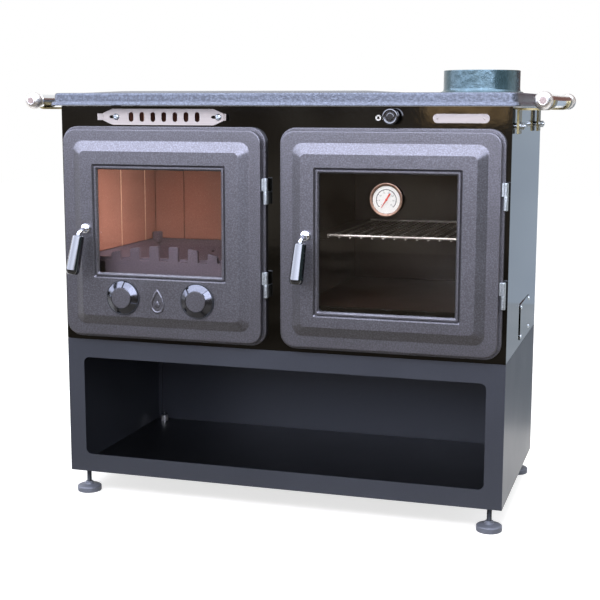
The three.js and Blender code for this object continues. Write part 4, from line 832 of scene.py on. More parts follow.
def casting(levels, reaches, xs):
    """A ring of metal from the inset, lower inset, depth and corner of each of its edges"""
    rings = []
    for inset, low, depth, corner in softened(levels, reaches, around=True):
        outline = rounded(grow(xs, -inset), (DOOR_Z[0] + low, DOOR_Z[1] - inset), corner)
        rings.append(laid(outline, depth))
    return loft(rings, "around")


def door_casting(door):
    """A rim flange, a bevel up to the raised face, and a stepped groove and ledge round the window"""
    low, inside, flange_inside = GROOVE_LOW[door], RAISED_FACE + DOOR_WALL, RIM_FACE + DOOR_WALL
    # how far in from the groove's edge, how deep, and the corner's radius
    window = [(0, 0, 3), (3.4, 4.6, 3), (4.2, 2, 3), (LEDGE - 2.8, 2, 2.5), (LEDGE, 5.5, 2.2)]
    levels = [
        (0, 0, DOOR_BACK, DOOR_CORNER),
        (0, 0, RIM_FACE, DOOR_CORNER),
        (23, 23, RIM_FACE, 20),
        (42, 42, RAISED_FACE, 9),
        *((GROOVE + step, low + step, RAISED_FACE + depth, corner) for step, depth, corner in window),
        (GROOVE + LEDGE, low + LEDGE, inside, 2.2),
        (38, 38, inside, 9),
        (19, 19, flange_inside, 20),
        (10, 10, flange_inside, 15),
        (10, 10, DOOR_BACK, 15),
    ]
    return casting(levels, [1, 3, 2, 1.4, 0.5, 0.4, 0.5, 0.5, 0.5, 0.4, 2, 2, 2, 1], DOOR_X[door])


def door_frame(door):
    """The flat cast ring on the panel, with the catch that the latch tongue goes behind"""
    node = f"{door}_door_frame"
    xs, ys = DOOR_X[door], spans(node)[1]
    outer, inner = (-FRAME_OVERLAP, DOOR_CORNER + FRAME_OVERLAP), (MOUTH_INSET, MOUTH_CORNER)
    edges = ((outer, ys[1]), (outer, ys[0]), (inner, ys[0]), (inner, ys[1]))
    levels = [(inset, inset, depth, corner) for (inset, corner), depth in edges]
    ring = casting(levels, [0.5, 2.5, 1.5, 0.5], xs)
    mouth, height = xs[0] + MOUTH_INSET, spindle_place(door)[1]
    up = (height - CATCH_BELOW, height + CATCH_ABOVE)
    catch = billet((mouth - SEAT, mouth + CATCH_REACH), ys, up, 1.5, 1)
    stand_in(f"{door}_cast_frame", door_iron, [ring, catch], node)


def rope_seal(door):
    """Sealing rope in the hollow of the door's rim, a little proud towards the frame"""
    outline = inset_in(DOOR_X[door], DOOR_Z, SEAL_INSET, DOOR_CORNER - SEAL_INSET, 10)
    path = laid(outline, SEAL_BACK - SEAL_RADIUS)
    make(f"{door}_rope_seal", rope, [bar(path, SEAL_RADIUS, 10, "around")], f"{door}_door")


def glass_clips(door):
    """Four pressed clips, each on a boss with a screw, that hold the glass from behind"""
    xs, (_, behind), zs = spans(f"{door}_glass")
    seat = -behind + RAISED_FACE + DOOR_WALL - 0.1
    boss = [(0, -1), (5, -1), (4.5, -seat), (0, -seat)]
    clips, bosses = [], []
    for x in grow(xs, -CLIP_INSET):
        for z, way in zip(zs, (-1, 1)):
            span = sorted((z - way * CLIP_ON_GLASS, z + way * CLIP_END))
            near, far, screw_z = behind + 0.2, behind + 0.2 + CLIP_SHEET, z + way * CLIP_SCREW
            clips.append(billet(about(x, CLIP_WIDTH), (near, far), span, 0.6, 0.5))
            bosses += [turned(boss, "forward", (x, behind, screw_z), 24), rear_head(4, 2, (x, far, screw_z))]
    make(f"{door}_glass_clips", mill_steel, clips, f"{door}_door")
    make(f"{door}_clip_screws", zinc, bosses, f"{door}_door")


def latch_handle(door):
    """A chromed dome with a bent rod, the tongue behind the door, and the moulded grip"""
    x, z = spindle_place(door)
    place = placed((x, RAISED_FACE, z), LEANS[door])
    tilt = placed(GRIP_TOP, -GRIP_TILT, "X")
    in_grip = [tuple(tilt @ Vector((0, 0, -distance))) for distance in (-5, 1, 13.4)]
    dome = softened([(0, 0.3), (10, 0.3), (10, 4), (7.5, 7.2), (0, 8.2)], [0, 0.6, 2.5, 4, 0])
    spindle = [(0, -TONGUE_Y[1] - 3), (SPINDLE_RADIUS, -TONGUE_Y[1] - 3), (SPINDLE_RADIUS, 2), (0, 2)]
    washer = [(5.2, -8.4), (9, -8.4), (9, -9.8), (5.2, -9.8)]
    metal = [
        turned(dome, "forward"),
        bar(curve_through([(0, -4, 0), (0, -17, -1.2), *in_grip]), 4.2, 20),
        moved(billet((-21, 5), TONGUE_Y, (-4, 4), 0.8, 0.8), placed(ORIGIN, 45)),
        turned(spindle, "forward", sides=32),
        turned(washer, "forward", sides=32, ends="around"),
    ]
    stand_in(f"{door}_latch_rod", chrome, [moved(shape, place) for shape in metal], f"{door}_handle")
    grip = [(0, -75.6), (7.2, -75.6), (8, -77), (10.2, -77), (13.8, -71)]
    grip += [(11.5, -1.5), (10, 0), (4.9, 0), (4.7, -14), (0, -14)]
    grip = turned(softened(grip, [0, 0.5, 0.5, 1.5, 3, 2.5, 1.2, 0.5, 0.5, 0]), "up", sides=64)
    stand_in(f"{door}_moulded_grip", phenolic, [moved(grip, place @ tilt)], f"{door}_grip")


HINGE_RADIUS, HINGE_TAB = 4.75, 4
PIN_RADIUS, PIN_BORE, PIN_DEPTH, FIXED_HEIGHT = 2.4, 3.0, 18, 25


def hinge_half(door, height, moving):
    """One knuckle of a lift-off hinge with its tab; the lower one carries the pin"""
    node = f"{door}_hinge_{height}_{'moving' if moving else 'fixed'}"
    xs, ys, (low, high) = spans(node)
    x, y = xs[1] - HINGE_RADIUS, ys[0] + HINGE_RADIUS
    if moving:
        bore = low + PIN_DEPTH
        profile = [(0, bore), (PIN_BORE, bore), (PIN_BORE, low)]
        profile += [(HINGE_RADIUS, low), (HINGE_RADIUS, high), (0, high)]
        reaches = [0, 0.3, 0.4, 0.9, 0.9, 0]
        tab = (xs[0], x - HINGE_RADIUS / 2), (y - HINGE_TAB, y), (low + 0.2, high - 0.2)
    else:
        top = low + FIXED_HEIGHT
        profile = [(0, low), (HINGE_RADIUS, low), (HINGE_RADIUS, top)]
        profile += [(PIN_RADIUS, top), (PIN_RADIUS, high), (0, high)]
        reaches = [0, 0.9, 0.9, 0.2, 0.8, 0]
        tab = (x - 1.2, x + 2.8), (y + HINGE_RADIUS / 2, ys[1]), (low + 0.2, top - 0.2)
    knuckle = turned(softened(profile, reaches), "up", (x, y, 0), 40)
    stand_in(f"{node}_knuckle", zinc, [billet(*tab, 0.8, 0.6), knuckle], node)


KNOB_RADIUS, KNOB_FACE, KNOB_PROUD, KNOB_EDGE, KNOB_RIM = 35, 20.5, 11, 3, 2
KNOB_TURNS = {"left": 14, "right": -38}  # degrees
NOTCH_WIDTH, NOTCH_DEPTH = 6.5, 3.6


def air_knob(side):
    """An air valve: a coned body with four notches round a flush face, a rim, and its bolt and nut"""
    node = f"{side}_air_knob"
    x, _, z = middle_of(node)
    place = placed((x, RAISED_FACE, z), KNOB_TURNS[side])
    cone, hollow = KNOB_RADIUS - KNOB_RIM, KNOB_PROUD - 2
    section = [(0, hollow), (KNOB_FACE, hollow)]
    section += [(KNOB_FACE, KNOB_PROUD - 0.3), (KNOB_FACE + 0.8, KNOB_PROUD - 0.4)]
    section += [(cone, KNOB_EDGE + 0.6), (cone, 0.3), (5, 0.3), (5, -8.5), (9, -8.6), (9, -14), (0, -14)]
    section = softened(section, [0, 0, 0.2, 0.3, 0.5, 0.5, 0, 0, 0.3, 0.5, 0], steps=2)
    body = loft([knob_ring(radius, height) for radius, height in section])
    stand_in(f"{side}_air_valve", valve_paint, [moved(body, place)], node, crease=25)
    seat, flush = KNOB_PROUD - 2.2, KNOB_FACE - 0.4
    face = softened([(0, seat), (flush, seat), (flush, KNOB_PROUD), (0, KNOB_PROUD)], [0, 0.3, 0.7, 0])
    make(f"{side}_air_valve_face", door_iron, [moved(turned(face, "forward", sides=64), place)], node)
    # the rim's near-black is a painted shadow line round the valve
    inside = cone + 0.15
    rim = [(inside, 0.3), (KNOB_RADIUS, 0.3), (KNOB_RADIUS, KNOB_EDGE), (inside, KNOB_EDGE)]
    rim = turned(softened(rim, 0.4, around=True), "forward", sides=64, ends="around")
    make(f"{side}_air_valve_rim", blackened_steel_and_shadow_paint, [moved(rim, place)], node)


def knob_ring(radius, height):
    """A ring of the air knob, sunk where a notch crosses its coned rim"""
    ring = []
    coned = radius > KNOB_FACE + 0.4 and height > 0.5
    half = NOTCH_WIDTH / 2
    for centre in (quarter * math.pi / 2 for quarter in range(4)):
        for offset, sunk in ((-half - 0.6, 0), (-half, 1), (0, 1), (half, 1), (half + 0.6, 0)):
            turn = centre + math.asin(max(-0.6, min(0.6, offset / max(radius, 5))))
            ring.append((turn, NOTCH_DEPTH if sunk and coned else 0))
        first = centre + math.asin(min(0.6, (half + 0.6) / max(radius, 5)))
        last = centre + math.pi - first + centre - math.pi / 2
        ring += [(first + (last - first) * k / 12, 0) for k in range(1, 12)]
    points = []
    for turn, sink in ring:
        depth = height - min(sink, height - 0.4) if sink else height
        points.append((radius * math.cos(turn), -depth, radius * math.sin(turn)))
    return points


ORNAMENT_BAND, ORNAMENT_RAISE, ORNAMENT_STEPS = 4.5, 2.2, 8
DROP_SHIFT, DROP_HEIGHT, DROP_FULLNESS = -3.5, 77, 0.65


def drop_ring(at, width, height, rise, sides=48):
    """A ring in the outline of a plain drop with its point upwards"""
    ring = []
    for turn in full_turn(sides):
        half = DROP_FULLNESS * width * math.sin(turn) * math.sin(turn / 2)
        ring.append((at[0] - half, RAISED_FACE - rise, at[1] + height / 2 * math.cos(turn)))
    return ring


def door_ornament():
    """A half-round band along a drop's outline, with a bead inside it"""
    x, z = middle(DOOR_X["firebox"]) + DROP_SHIFT, DOOR_Z[0] + DROP_HEIGHT
    outer, inner = (30, 50, 0), (20, 35, -ORNAMENT_BAND / 2)  # width, height and shift
    band = []
    for turn in spread((0, math.pi), ORNAMENT_STEPS + 1):
        width, height, shift = (a + (b - a) * (1 - math.cos(turn)) / 2 for a, b in zip(outer, inner))
        band.append(drop_ring((x, z + shift), width, height, ORNAMENT_RAISE * math.sin(turn)))
    band += [[(a, RAISED_FACE + 0.5, b) for a, _, b in ring] for ring in (band[-1], band[0])]
    bead_levels = ((9, 16, -0.5), (8.6, 15.4, 0.9), (6.5, 12, 1.7), (3, 6, 2.0))
    bead = [drop_ring((x, z - 5.5), *level) for level in bead_levels]
    make("cast_drop", door_iron, [loft(band, "around"), loft(bead)], "firebox_door", crease=60)


def doors():
    for door in DOORS:
        stand_in(f"{door}_door_casting", door_iron, [door_casting(door)], f"{door}_door", crease=60)
        dress(f"{door}_glass", glass)
        for build in (door_frame, rope_seal, glass_clips, latch_handle):
            build(door)
        for height in ("low", "high"):
            for moving in (False, True):
                hinge_half(door, height, moving)
    for side in SIDES:
        air_knob(side)
    door_ornament()


# Fittings of the front
SLIDER_LENGTH, SLIDER_PULL, SLIDER_CHAMFER = 255, 14, 21
INDEX_AT = (202.6, 0, 782.7)
BADGE_X, BADGE_Z, BADGE_LENGTH, BADGE_HEIGHT, BADGE_END = 357, 782, 104, 17, 8.3
FLAP_MARGIN, FLAP_LENGTH = 8, 110


def air_slider():
    """A stainless plate with chamfered corners, slots and a folded pull at each end"""
    low, high = spans("air_slider")[2]
    x0, x1 = about(SLIDER_X, SLIDER_LENGTH)
    e0, e1 = about(SLIDER_Z, SLIDER_PULL)
    in0, in1 = x0 + SLIDER_CHAMFER, x1 - SLIDER_CHAMFER
    corners = [(x0, e0), (in0, low), (in1, low), (x1, e0), (x1, e1), (in1, high), (in0, high), (x0, e1)]
    guides = [slot_outline(x - AIR_PITCH / 4, SLIDER_Z, AIR_PITCH / 2 + 6, 6) for x in screw_places()]
    front, back = -SEAT - SLIDER_SHEET, -SEAT
    shapes = [plate(softened(corners, 2.5, around=True), (front, back), [*air_slots(), *guides])]
    for x, way in ((x0, -1), (x1, 1)):
        fold = [(-0.6, back - 0.2), (0.8, back - 0.6), (7.5, back - 7.4), (8, back - 8)]
        fold += [(8, back - 9.3), (6.8, back - 8.8), (0, front - 0.2), (-0.6, front + 0.1)]
        shapes.append(plate([(x + way * a, b) for a, b in fold], (e0 + 0.5, e1 - 0.5), way="up"))
    stand_in("slotted_air_slider", stainless, shapes, "air_slider", ease=0.25)


def damper_pull():
    """A moulded pull with a ringed face, its rod and the damper plate under the flue"""
    xs, ys, _ = spans("damper_pull")
    at, face = (PULL_X, 0, PULL_Z), -ys[0]
    section = [(0, 0.3), (9, 0.3), (9, 7), (15, 10.5), (15, face), (11.5, face), (10.5, face - 1.4)]
    section += [(6.6, face - 1.4), (6.2, face - 0.6), (0, face - 0.6)]
    section = softened(section, [0, 0.5, 2, 2.5, 3, 0.8, 0.6, 0.4, 0.4, 0])
    stand_in("damper_knob", phenolic, [turned(section, "forward", at, 64)], "damper_pull")
    flap_y = (ys[1] - FLAP_LENGTH, ys[1])
    rod = turned([(0, -flap_y[0] - 6), (4, -flap_y[0] - 6), (4, 0.2), (0, 0.2)], "forward", at, 24)
    flap = billet((PULL_X - FLAP_MARGIN, xs[1]), flap_y, about(PULL_Z, 3), 12, 0.5)
    make("damper_plate_and_rod", mill_steel, [rod, flap], "damper_pull")


def index_ring():
    """The small white ring beside the damper pull"""
    section = softened([(2.6, 0), (5.5, 0), (5.5, 0.7), (2.6, 0.7)], 0.25, around=True)
    ring = turned(section, "forward", INDEX_AT, 40, "around")
    make("damper_index_ring", white_enamel, [ring], "front_panel")


def blank_badge():
    """A bare plate with rounded ends and two rivets"""
    xs, zs = about(BADGE_X, BADGE_LENGTH), about(BADGE_Z, BADGE_HEIGHT)
    levels = ((0, 0), (0, -1.1), (0.9, -1.6))
    rings = [laid(inset_in(xs, zs, inset, BADGE_END - inset), depth) for inset, depth in levels]
    rivet = softened([(0, 1.6), (2.2, 1.6), (1.6, 2.4), (0, 2.6)], [0, 0.3, 0.8, 0])
    rivets = [turned(rivet, "forward", (x, 0, BADGE_Z), 24) for x in grow(xs, -9)]
    make("blank_badge_plate", stainless, [loft(rings), *rivets], "front_panel")


# Thermometer
CASE = "thermometer_case"
THERMO_X, _, THERMO_Z = middle_of(CASE)
THERMO_AT = (THERMO_X, 0, THERMO_Z)
DIAL_Y, PRINT = -34.0, (-34.12, -34.02)  # the dial's face and its printing
SCALE = (-135, 135)  # degrees clockwise from upright
SCALE_RINGS, SCALE_STEPS, SCALE_MARKS = (18.3, 19.4), 48, 28
FIGURES, FIGURE_STEP, FIGURE_RADIUS, FIGURE_SIZE = 8, 50, 13.2, 2.9
NEEDLE_TURN = 32  # degrees


def dial_place(radius, degrees):
    turn = math.radians(degrees)
    return THERMO_X + radius * math.sin(turn), THERMO_Z + radius * math.cos(turn)


def thermometer():
    rim = -spans(CASE)[1][0]
    bezel = [(27, 26.2), (28, 26.2), (28, rim - 4.5), (31, rim - 4), (31, rim - 0.8)]
    bezel += [(30.2, rim), (26.2, rim - 0.5), (25.6, 33.5)]
    bezel = softened(bezel, [0, 0.5, 1, 0.8, 0.4, 0.6, 0.4, 0], around=True)
    stand_in("thermometer_bezel", heat_tinted, [turned(bezel, "forward", THERMO_AT, 72, "around")], CASE)
    stem = [(0, 12.4), (3.5, 12.4), (3.5, 16.6), (8, 16.6), (8, 21.4), (3.4, 21.4), (3.4, 26), (0, 26)]
    make("thermometer_stem", zinc, [turned(softened(stem, 0.3), "forward", THERMO_AT, 32)], CASE)
    dial = [(0, 26.3), (27.2, 26.3), (27.2, 33.6), (26.2, 34), (0, 34)]
    make("thermometer_dial", white_enamel, [turned(dial, "forward", THERMO_AT, 72)], CASE)
    dial_marks()
    lens = [(26.2, 35.6), (26.2, 36.0), (18, 36.35), (9, 36.5), (0, 36.55)]
    lens += [(0, 36.15), (9, 36.1), (18, 35.95)]
    make("thermometer_lens", crystal, [turned(lens, "forward", THERMO_AT, 64, "around")], CASE)
    needle()


def dial_marks():
    """A scale arc with long and short marks, and figures in steps of fifty degrees"""
    turns = spread(SCALE, SCALE_STEPS + 1)
    inner, outer = ([dial_place(radius, turn) for turn in turns] for radius in SCALE_RINGS)
    shapes = [plate(outer + inner[::-1], PRINT)]
    for i, turn in enumerate(spread(SCALE, SCALE_MARKS + 1)):
        near, half = (17.3, 0.25) if i % 4 else (16.4, 0.4)
        corners = [(-half, near), (half, near), (half, 18.6), (-half, 18.6)]
        shapes.append(moved(plate(corners, PRINT), placed(THERMO_AT, turn)))
    make("dial_scale", dial_ink, shapes, CASE)
    for i, turn in enumerate(spread(SCALE, FIGURES)):
        dial_figure(str(i * FIGURE_STEP), turn)


def dial_figure(text, degrees):
    """A figure of the scale, as a thin raised print"""
    letters = bpy.data.curves.new(f"dial_figure_{text}", "FONT")
    letters.body = text
    letters.size = FIGURE_SIZE * MM
    letters.align_x, letters.align_y = "CENTER", "CENTER"
    letters.extrude = 0.03 * MM
    figure = show(f"dial_figure_{text}", letters)
    x, z = dial_place(FIGURE_RADIUS, degrees)
    figure.matrix_world = placed((x * MM, FACE + (DIAL_Y - 0.06) * MM, z * MM), 90, "X")
    bpy.context.view_layer.update()
    mesh = bpy.data.meshes.new_from_object(figure)
    mesh.transform(figure.matrix_world)
    bpy.data.objects.remove(figure)
    mesh.materials.clear()
    mesh.materials.append(dial_ink)
    printed = show(f"dial_print_{text}", mesh)
    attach(printed, home[CASE])


def needle():
    """A slim pointer with a broad tail, on a domed hub"""
    outline = [(-0.35, -18), (0, -18.8), (0.35, -18), (1.2, 0)]
    outline += [(1.7, 12.5), (0, 14.5), (-1.7, 12.5), (-1.2, 0)]
    pointer = moved(plate(outline, (DIAL_Y - 0.9, DIAL_Y - 0.35)), placed(THERMO_AT, NEEDLE_TURN))
    hub = softened([(0, 34.3), (2.2, 34.3), (2.0, 35.1), (0, 35.4)], [0, 0.3, 0.6, 0])
    hub = turned(hub, "forward", THERMO_AT, 24)
    stand_in("dial_needle", needle_red, [pointer, hub], "thermometer_needle")


# Oven
RACK_WIRES, WIRE_RADIUS, RAIL_WIRE_RADIUS = 13, 1.6, 2.6


def oven():
    dress("oven_liner", oven_enamel, ease=0.8)
    xs, ys, zs = spans("oven_rack")
    wire_z, bar_z = zs[0] + WIRE_RADIUS, zs[1] - RAIL_WIRE_RADIUS
    shapes = []
    for y in grow(ys, -3):
        path = [(x, y, bar_z) for x in (xs[0], xs[0] + 4, xs[1] - 4, xs[1])]
        shapes.append(bar(path, RAIL_WIRE_RADIUS, 16))
    for x in spread(grow(xs, -WIRE_RADIUS), RACK_WIRES):
        shapes.append(bar([(x, y, wire_z) for y in (ys[0], ys[0] + 5, ys[1] - 5, ys[1])], WIRE_RADIUS))
    stand_in("oven_rack_wires", dulled_chrome, shapes, "oven_rack")


# Firebox
BRICK, BRICK_WIDTH, BRICK_GAP = 22, 125, 2.0
FIRST_SIDE, FIRST_REAR = 0.6, 0.574  # the first brick's share of a full one's width
GATE = 70  # height of the gases' way over the right wall
GRATE_TOP, GRATE_RIM, GRATE_LEDGE, GRATE_DEPTH, GRATE_SLOPE, GRATE_WALL = 500, 10, 14, 38, 48, 8
GRATE_SLOTS, GRATE_SLOT, GRATE_SLOT_END = 7, 11, 26
GRATE_HOLES, GRATE_HOLE, GRATE_HOLES_BACK = 6, 6, 24
TEETH, TOOTH, TOOTH_PITCH, TOOTH_FOOT, ARCH_TOP, ARCH_DROP = 6, 20, 42, 48.7, 31, 13.4


def firebox():
    dress("firebox_shell", mill_steel, ease=0.5)
    dress("ash_pan", mill_steel, ease=0.5)
    fire_bricks()
    fire_grate()
    log_fence()


def brick(name, xs, ys, zs):
    slab = billet(grow(xs, -BRICK_GAP / 2), grow(ys, -BRICK_GAP / 2), zs, 1.6, 1.5)
    stand_in(name, firebrick, [slab], "firebrick_lining")


def fire_bricks():
    """Tall slabs along three walls; the right-hand ones are lower, for the gases"""
    xs, ys, zs = spans("firebrick_lining")
    inner_x, front, rear = grow(xs, -BRICK), ys[0] + BRICK, ys[1] - BRICK
    left, right, gate = (xs[0], inner_x[0]), (inner_x[1], xs[1]), (zs[0], zs[1] - GATE)
    side_joints = [ys[0], *(ys[0] + BRICK_WIDTH * (i + FIRST_SIDE) for i in range(3)), ys[1]]
    rear_joints = [inner_x[0], *(inner_x[0] + BRICK_WIDTH * (i + FIRST_REAR) for i in range(2)), inner_x[1]]
    for i, (near, far) in enumerate(zip(side_joints, side_joints[1:])):
        brick(f"brick_left_{i}", left, (near, far), zs)
        brick(f"brick_right_{i}", right, (max(near, front), min(far, rear)), gate)
    for i, (near, far) in enumerate(zip(rear_joints, rear_joints[1:])):
        brick(f"brick_rear_{i}", (near, far), (rear, ys[1]), zs)
    # the pale joint strips paint the highlight on the bricks' lit edges
    joint_x = (xs[0] + 1, inner_x[0] - 0.5)
    joints = [billet(joint_x, about(y, BRICK_GAP + 0.4), zs, 0.2, 0.2) for y in side_joints[1:-1]]
    make("side_joints", joint_strip_highlight, joints, "firebrick_lining")
    brick("brick_right_front", right, (ys[0], front), zs)
    brick("brick_right_rear", right, (rear, ys[1]), zs)


def fire_grate():
    """A rimmed tray with sloped sides, a slotted floor, holes in its rear slope and a lug in its corner"""
    xs, ys, zs = spans("fire_grate")
    low, rim = GRATE_TOP - GRATE_DEPTH, GRATE_TOP - GRATE_RIM
    open_x, open_y = grow(xs, -BRICK + SEAT), (ys[0] + GRATE_WALL, ys[1] - BRICK + SEAT)
    under = low - GRATE_WALL
    outer = ((0, GRATE_TOP), (0, rim), (GRATE_LEDGE + SEAT, rim), (GRATE_LEDGE + GRATE_SLOPE, under))
    inner = ((GRATE_SLOPE, under), (GRATE_SLOPE, low), (1, GRATE_TOP - 1), (0, GRATE_TOP))
    rings = [laid(inset_in(xs, ys, inset, 3, 4), z, "up") for inset, z in outer]
    rings += [laid(inset_in(open_x, open_y, inset, 3, 4), z, "up") for inset, z in inner]
    floor_x, floor_y = grow(open_x, -GRATE_SLOPE), grow(open_y, -GRATE_SLOPE)
    row, slot_y = spread(grow(floor_x, -GRATE_SLOT), GRATE_SLOTS), grow(floor_y, -GRATE_SLOT_END)
    slots = [rounded(about(x, GRATE_SLOT), slot_y, GRATE_SLOT / 2 - 0.1, 4) for x in row]
    floor = plate(inset_in(floor_x, floor_y, -0.5, 3, 4), (under + 0.2, low - 0.1), slots, "up")
    lug_x, lug_y = (open_x[0] + SEAT, open_x[0] + 20), (open_y[1] - 20, open_y[1] - SEAT)
    lug = billet(lug_x, lug_y, (GRATE_TOP - 9, zs[1]), 5, 2)
    tray = [loft(rings, "around"), floor, lug]
    grate = stand_in("cast_fire_grate", fire_iron, tray, "fire_grate", crease=30)
    core = [(0, low - 20), (GRATE_HOLE, low - 20), (GRATE_HOLE, GRATE_TOP + 5), (0, GRATE_TOP + 5)]
    holes = [(x, open_y[1] - GRATE_HOLES_BACK, 0) for x in spread(floor_x, GRATE_HOLES)]
    drill(grate, [turned(core, "up", at, 24) for at in holes])


def drill(piece, cutters):
    """Cuts round holes through a finished piece"""
    cutter = make("drill", fire_iron, cutters, "fire_grate")
    cut = piece.modifiers.new("holes", "BOOLEAN")
    cut.operation = "DIFFERENCE"
    cut.object = cutter
    cut.solver = "EXACT"
    cut.use_self = True
    bpy.context.view_layer.update()
    drilled = bpy.data.meshes.new_from_object(piece.evaluated_get(bpy.context.evaluated_depsgraph_get()))
    piece.modifiers.clear()
    piece.data = drilled
    broad_faces_stay_flat(piece)
    bpy.data.objects.remove(cutter)


def log_fence():
    """A cast plate whose upper edge is a row of teeth under an arch"""
    (x0, x1), ys, (low, _) = spans("log_fence")
    gap_z, centre, reach = low + TOOTH_FOOT, (x0 + x1) / 2, (TEETH - 1) / 2 * TOOTH_PITCH

    def arch(x):
        return gap_z + ARCH_TOP - ARCH_DROP * ((x - centre) / reach) ** 2

    corners = [(x0, low), (x1, low), (x1, gap_z)]
    for i in range(TEETH):
        left, right = about(centre + reach - i * TOOTH_PITCH, TOOTH)
        corners += [(right, gap_z), (right, arch(right)), (left, arch(left)), (left, gap_z)]
    outline = softened([*corners, (x0, gap_z)], 3.2, around=True, steps=3)
    stand_in("cast_log_fence", fire_iron, [plate(outline, ys)], "log_fence", ease=1.3)


# Studio, in metres
CAMERA_AT = (0.74289, -2.43356, 0.80431)
CAMERA_YAW, CAMERA_PITCH, CAMERA_ROLL = 17.166, 81.018, 0.085  # degrees
CAMERA_LENS = 73.68
PAPER_REACH = 9
WIDE, FAR, NEAR, TOP = 5.0, -4.6, -0.27, 3.8  # of the cards round the stove's front
SIDE_NEAR, SIDE_FAR = 0.5, 3.2  # of the cards behind the stove on its right
GROUND = 0.003
LAMP_SHIFT = (-110, 65, -50)  # millimetres from the lining's front right upper corner
SKY, SKY_LEVEL = "#dce3fa", 8.5
DAWN, FULL_DAY = 0.75, 1.3  # heights between which the cloth brightens into the sky
DULL, BRIGHT = 7.2, 12.0  # the sky's level at the left and at the right


def camera():
    data = bpy.data.cameras.new("camera")
    data.lens = CAMERA_LENS
    data.sensor_width = 36
    view = show("camera", data)
    aimed = placed(CAMERA_AT, CAMERA_YAW, "Z") @ placed(ORIGIN, CAMERA_PITCH, "X")
    view.matrix_world = aimed @ placed(ORIGIN, CAMERA_ROLL, "Z")
    bpy.context.scene.camera = view


def softbox(name, at, towards, size, power, colour="#ffffff", angle=180):
    """A rectangular lamp that faces a point, and that gloss doesn't see"""
    lamp = bpy.data.lights.new(name, "AREA")
    lamp.shape = "RECTANGLE"
    lamp.size, lamp.size_y = size
    lamp.energy = power
    lamp.spread = math.radians(angle)
    lamp.color = linear(colour)[:3]
    holder = show(name, lamp)
    aim = (Vector(towards) - Vector(at)).to_track_quat("-Z", "Y")
    holder.matrix_world = Matrix.Translation(at) @ aim.to_matrix().to_4x4()
    holder.visible_glossy = False
    holder.visible_camera = False


def stage(name, corners, material):
    mesh = bpy.data.meshes.new(name)
    mesh.from_pydata(corners, [], [(0, 1, 2, 3)])
    mesh.materials.append(material)
    surface = show(name, mesh)
    return surface


def seen_directly(tree):
    """1 for what the camera, a reflection or glass sees"""
    rays = add(tree, "LightPath", {}).outputs
    either = add(tree, "Math", {0: rays["Is Camera Ray"], 1: rays["Is Glossy Ray"]}, operation="MAXIMUM")
    sights = {0: either.outputs["Value"], 1: rays["Is Transmission Ray"]}
    return add(tree, "Math", sights, operation="MAXIMUM").outputs["Value"]


def bare(name):
    """A material without a shader, and its node tree"""
    material = bpy.data.materials.new(name)
    material.use_nodes = True
    tree = material.node_tree
    tree.nodes.remove(tree.nodes["Principled BSDF"])
    return material, tree


def floor_paper():
    """White paper: nearly white where it is seen, with the stove's soft shadow, and grey as a bounce"""
    material, tree = bare("white_studio_paper")
    lit = add(tree, "BsdfDiffuse", {"Color": linear("#d0d0d0")})
    glow = add(tree, "Emission", {"Color": (1, 1, 1, 1), "Strength": 0.7})
    shaded = add(tree, "AddShader", {0: lit.outputs["BSDF"], 1: glow.outputs["Emission"]})
    bounce = add(tree, "BsdfDiffuse", {"Color": linear("#4a4846")})
    papers = {0: seen_directly(tree), 1: bounce.outputs["BSDF"], 2: shaded.outputs["Shader"]}
    both = add(tree, "MixShader", papers)
    feed(tree, tree.nodes["Material Output"], {"Surface": both.outputs["Shader"]})
    return material


def glowing(name):
    """A material that only glows, its node tree and its emission"""
    material, tree = bare(name)
    glow = add(tree, "Emission", {})
    feed(tree, tree.nodes["Material Output"], {"Surface": glow.outputs["Emission"]})
    return material, tree, glow


def blotches(tree, dark, light, size):
    """A mottled colour between two, in soft blotches of a size"""
    where = add(tree, "TexCoord", {}).outputs["Object"]
    clouds = add(tree, "TexNoise", {"Vector": where, "Scale": each(size), "Detail": 3.0}).outputs["Fac"]
    share = add(tree, "MapRange", {"Value": clouds, "From Min": 0.35, "From Max": 0.65}).outputs["Result"]
    return add(tree, "Mix", {0: share, 6: linear(dark), 7: linear(light)}, data_type="RGBA").outputs[2]


def card_colour(name, dark, light, strength, blotch):
    """A card that glows in soft blotches between two colours"""
    material, tree, glow = glowing(name)
    feed(tree, glow, {"Color": blotches(tree, dark, light, blotch), "Strength": strength})
    return material


def cloth_and_sky():
    """A dim mottled cloth that brightens upwards into an overcast sky"""
    material, tree, glow = glowing("dim_cloth_under_bright_sky")
    where = add(tree, "TexCoord", {}).outputs["Object"]
    place = add(tree, "SeparateXYZ", {"Vector": where}).outputs
    heights = {"Value": place["Z"], "From Min": DAWN, "From Max": FULL_DAY}
    rise = add(tree, "MapRange", heights, interpolation_type="SMOOTHSTEP").outputs["Result"]
    cloth = blotches(tree, "#62564a", "#ada396", 500)
    tint = add(tree, "Mix", {0: rise, 6: cloth, 7: linear(SKY)}, data_type="RGBA").outputs[2]
    across = {"Value": place["X"], "From Min": -3.0, "From Max": 2.0, "To Min": DULL, "To Max": BRIGHT}
    sky = add(tree, "MapRange", across).outputs["Result"]
    level = add(tree, "MapRange", {"Value": rise, "To Min": 1.0, "To Max": sky}).outputs["Result"]
    feed(tree, glow, {"Color": tint, "Strength": level})
    return material


def upright(left, right, low, high):
    """Corners of an upright card between two points of the floor"""
    (ax, ay), (bx, by) = left, right
    return [(ax, ay, low), (bx, by, low), (bx, by, high), (ax, ay, high)]


def lying(left, right, near, far, height):
    """Corners of a card that lies level"""
    return [(left, near, height), (right, near, height), (right, far, height), (left, far, height)]


def card(name, corners, material):
    """A card beside the stove that only its gloss and its glass see"""
    held = stage(name, corners, material)
    for ray in ("camera", "diffuse", "shadow", "volume_scatter"):
        setattr(held, f"visible_{ray}", False)


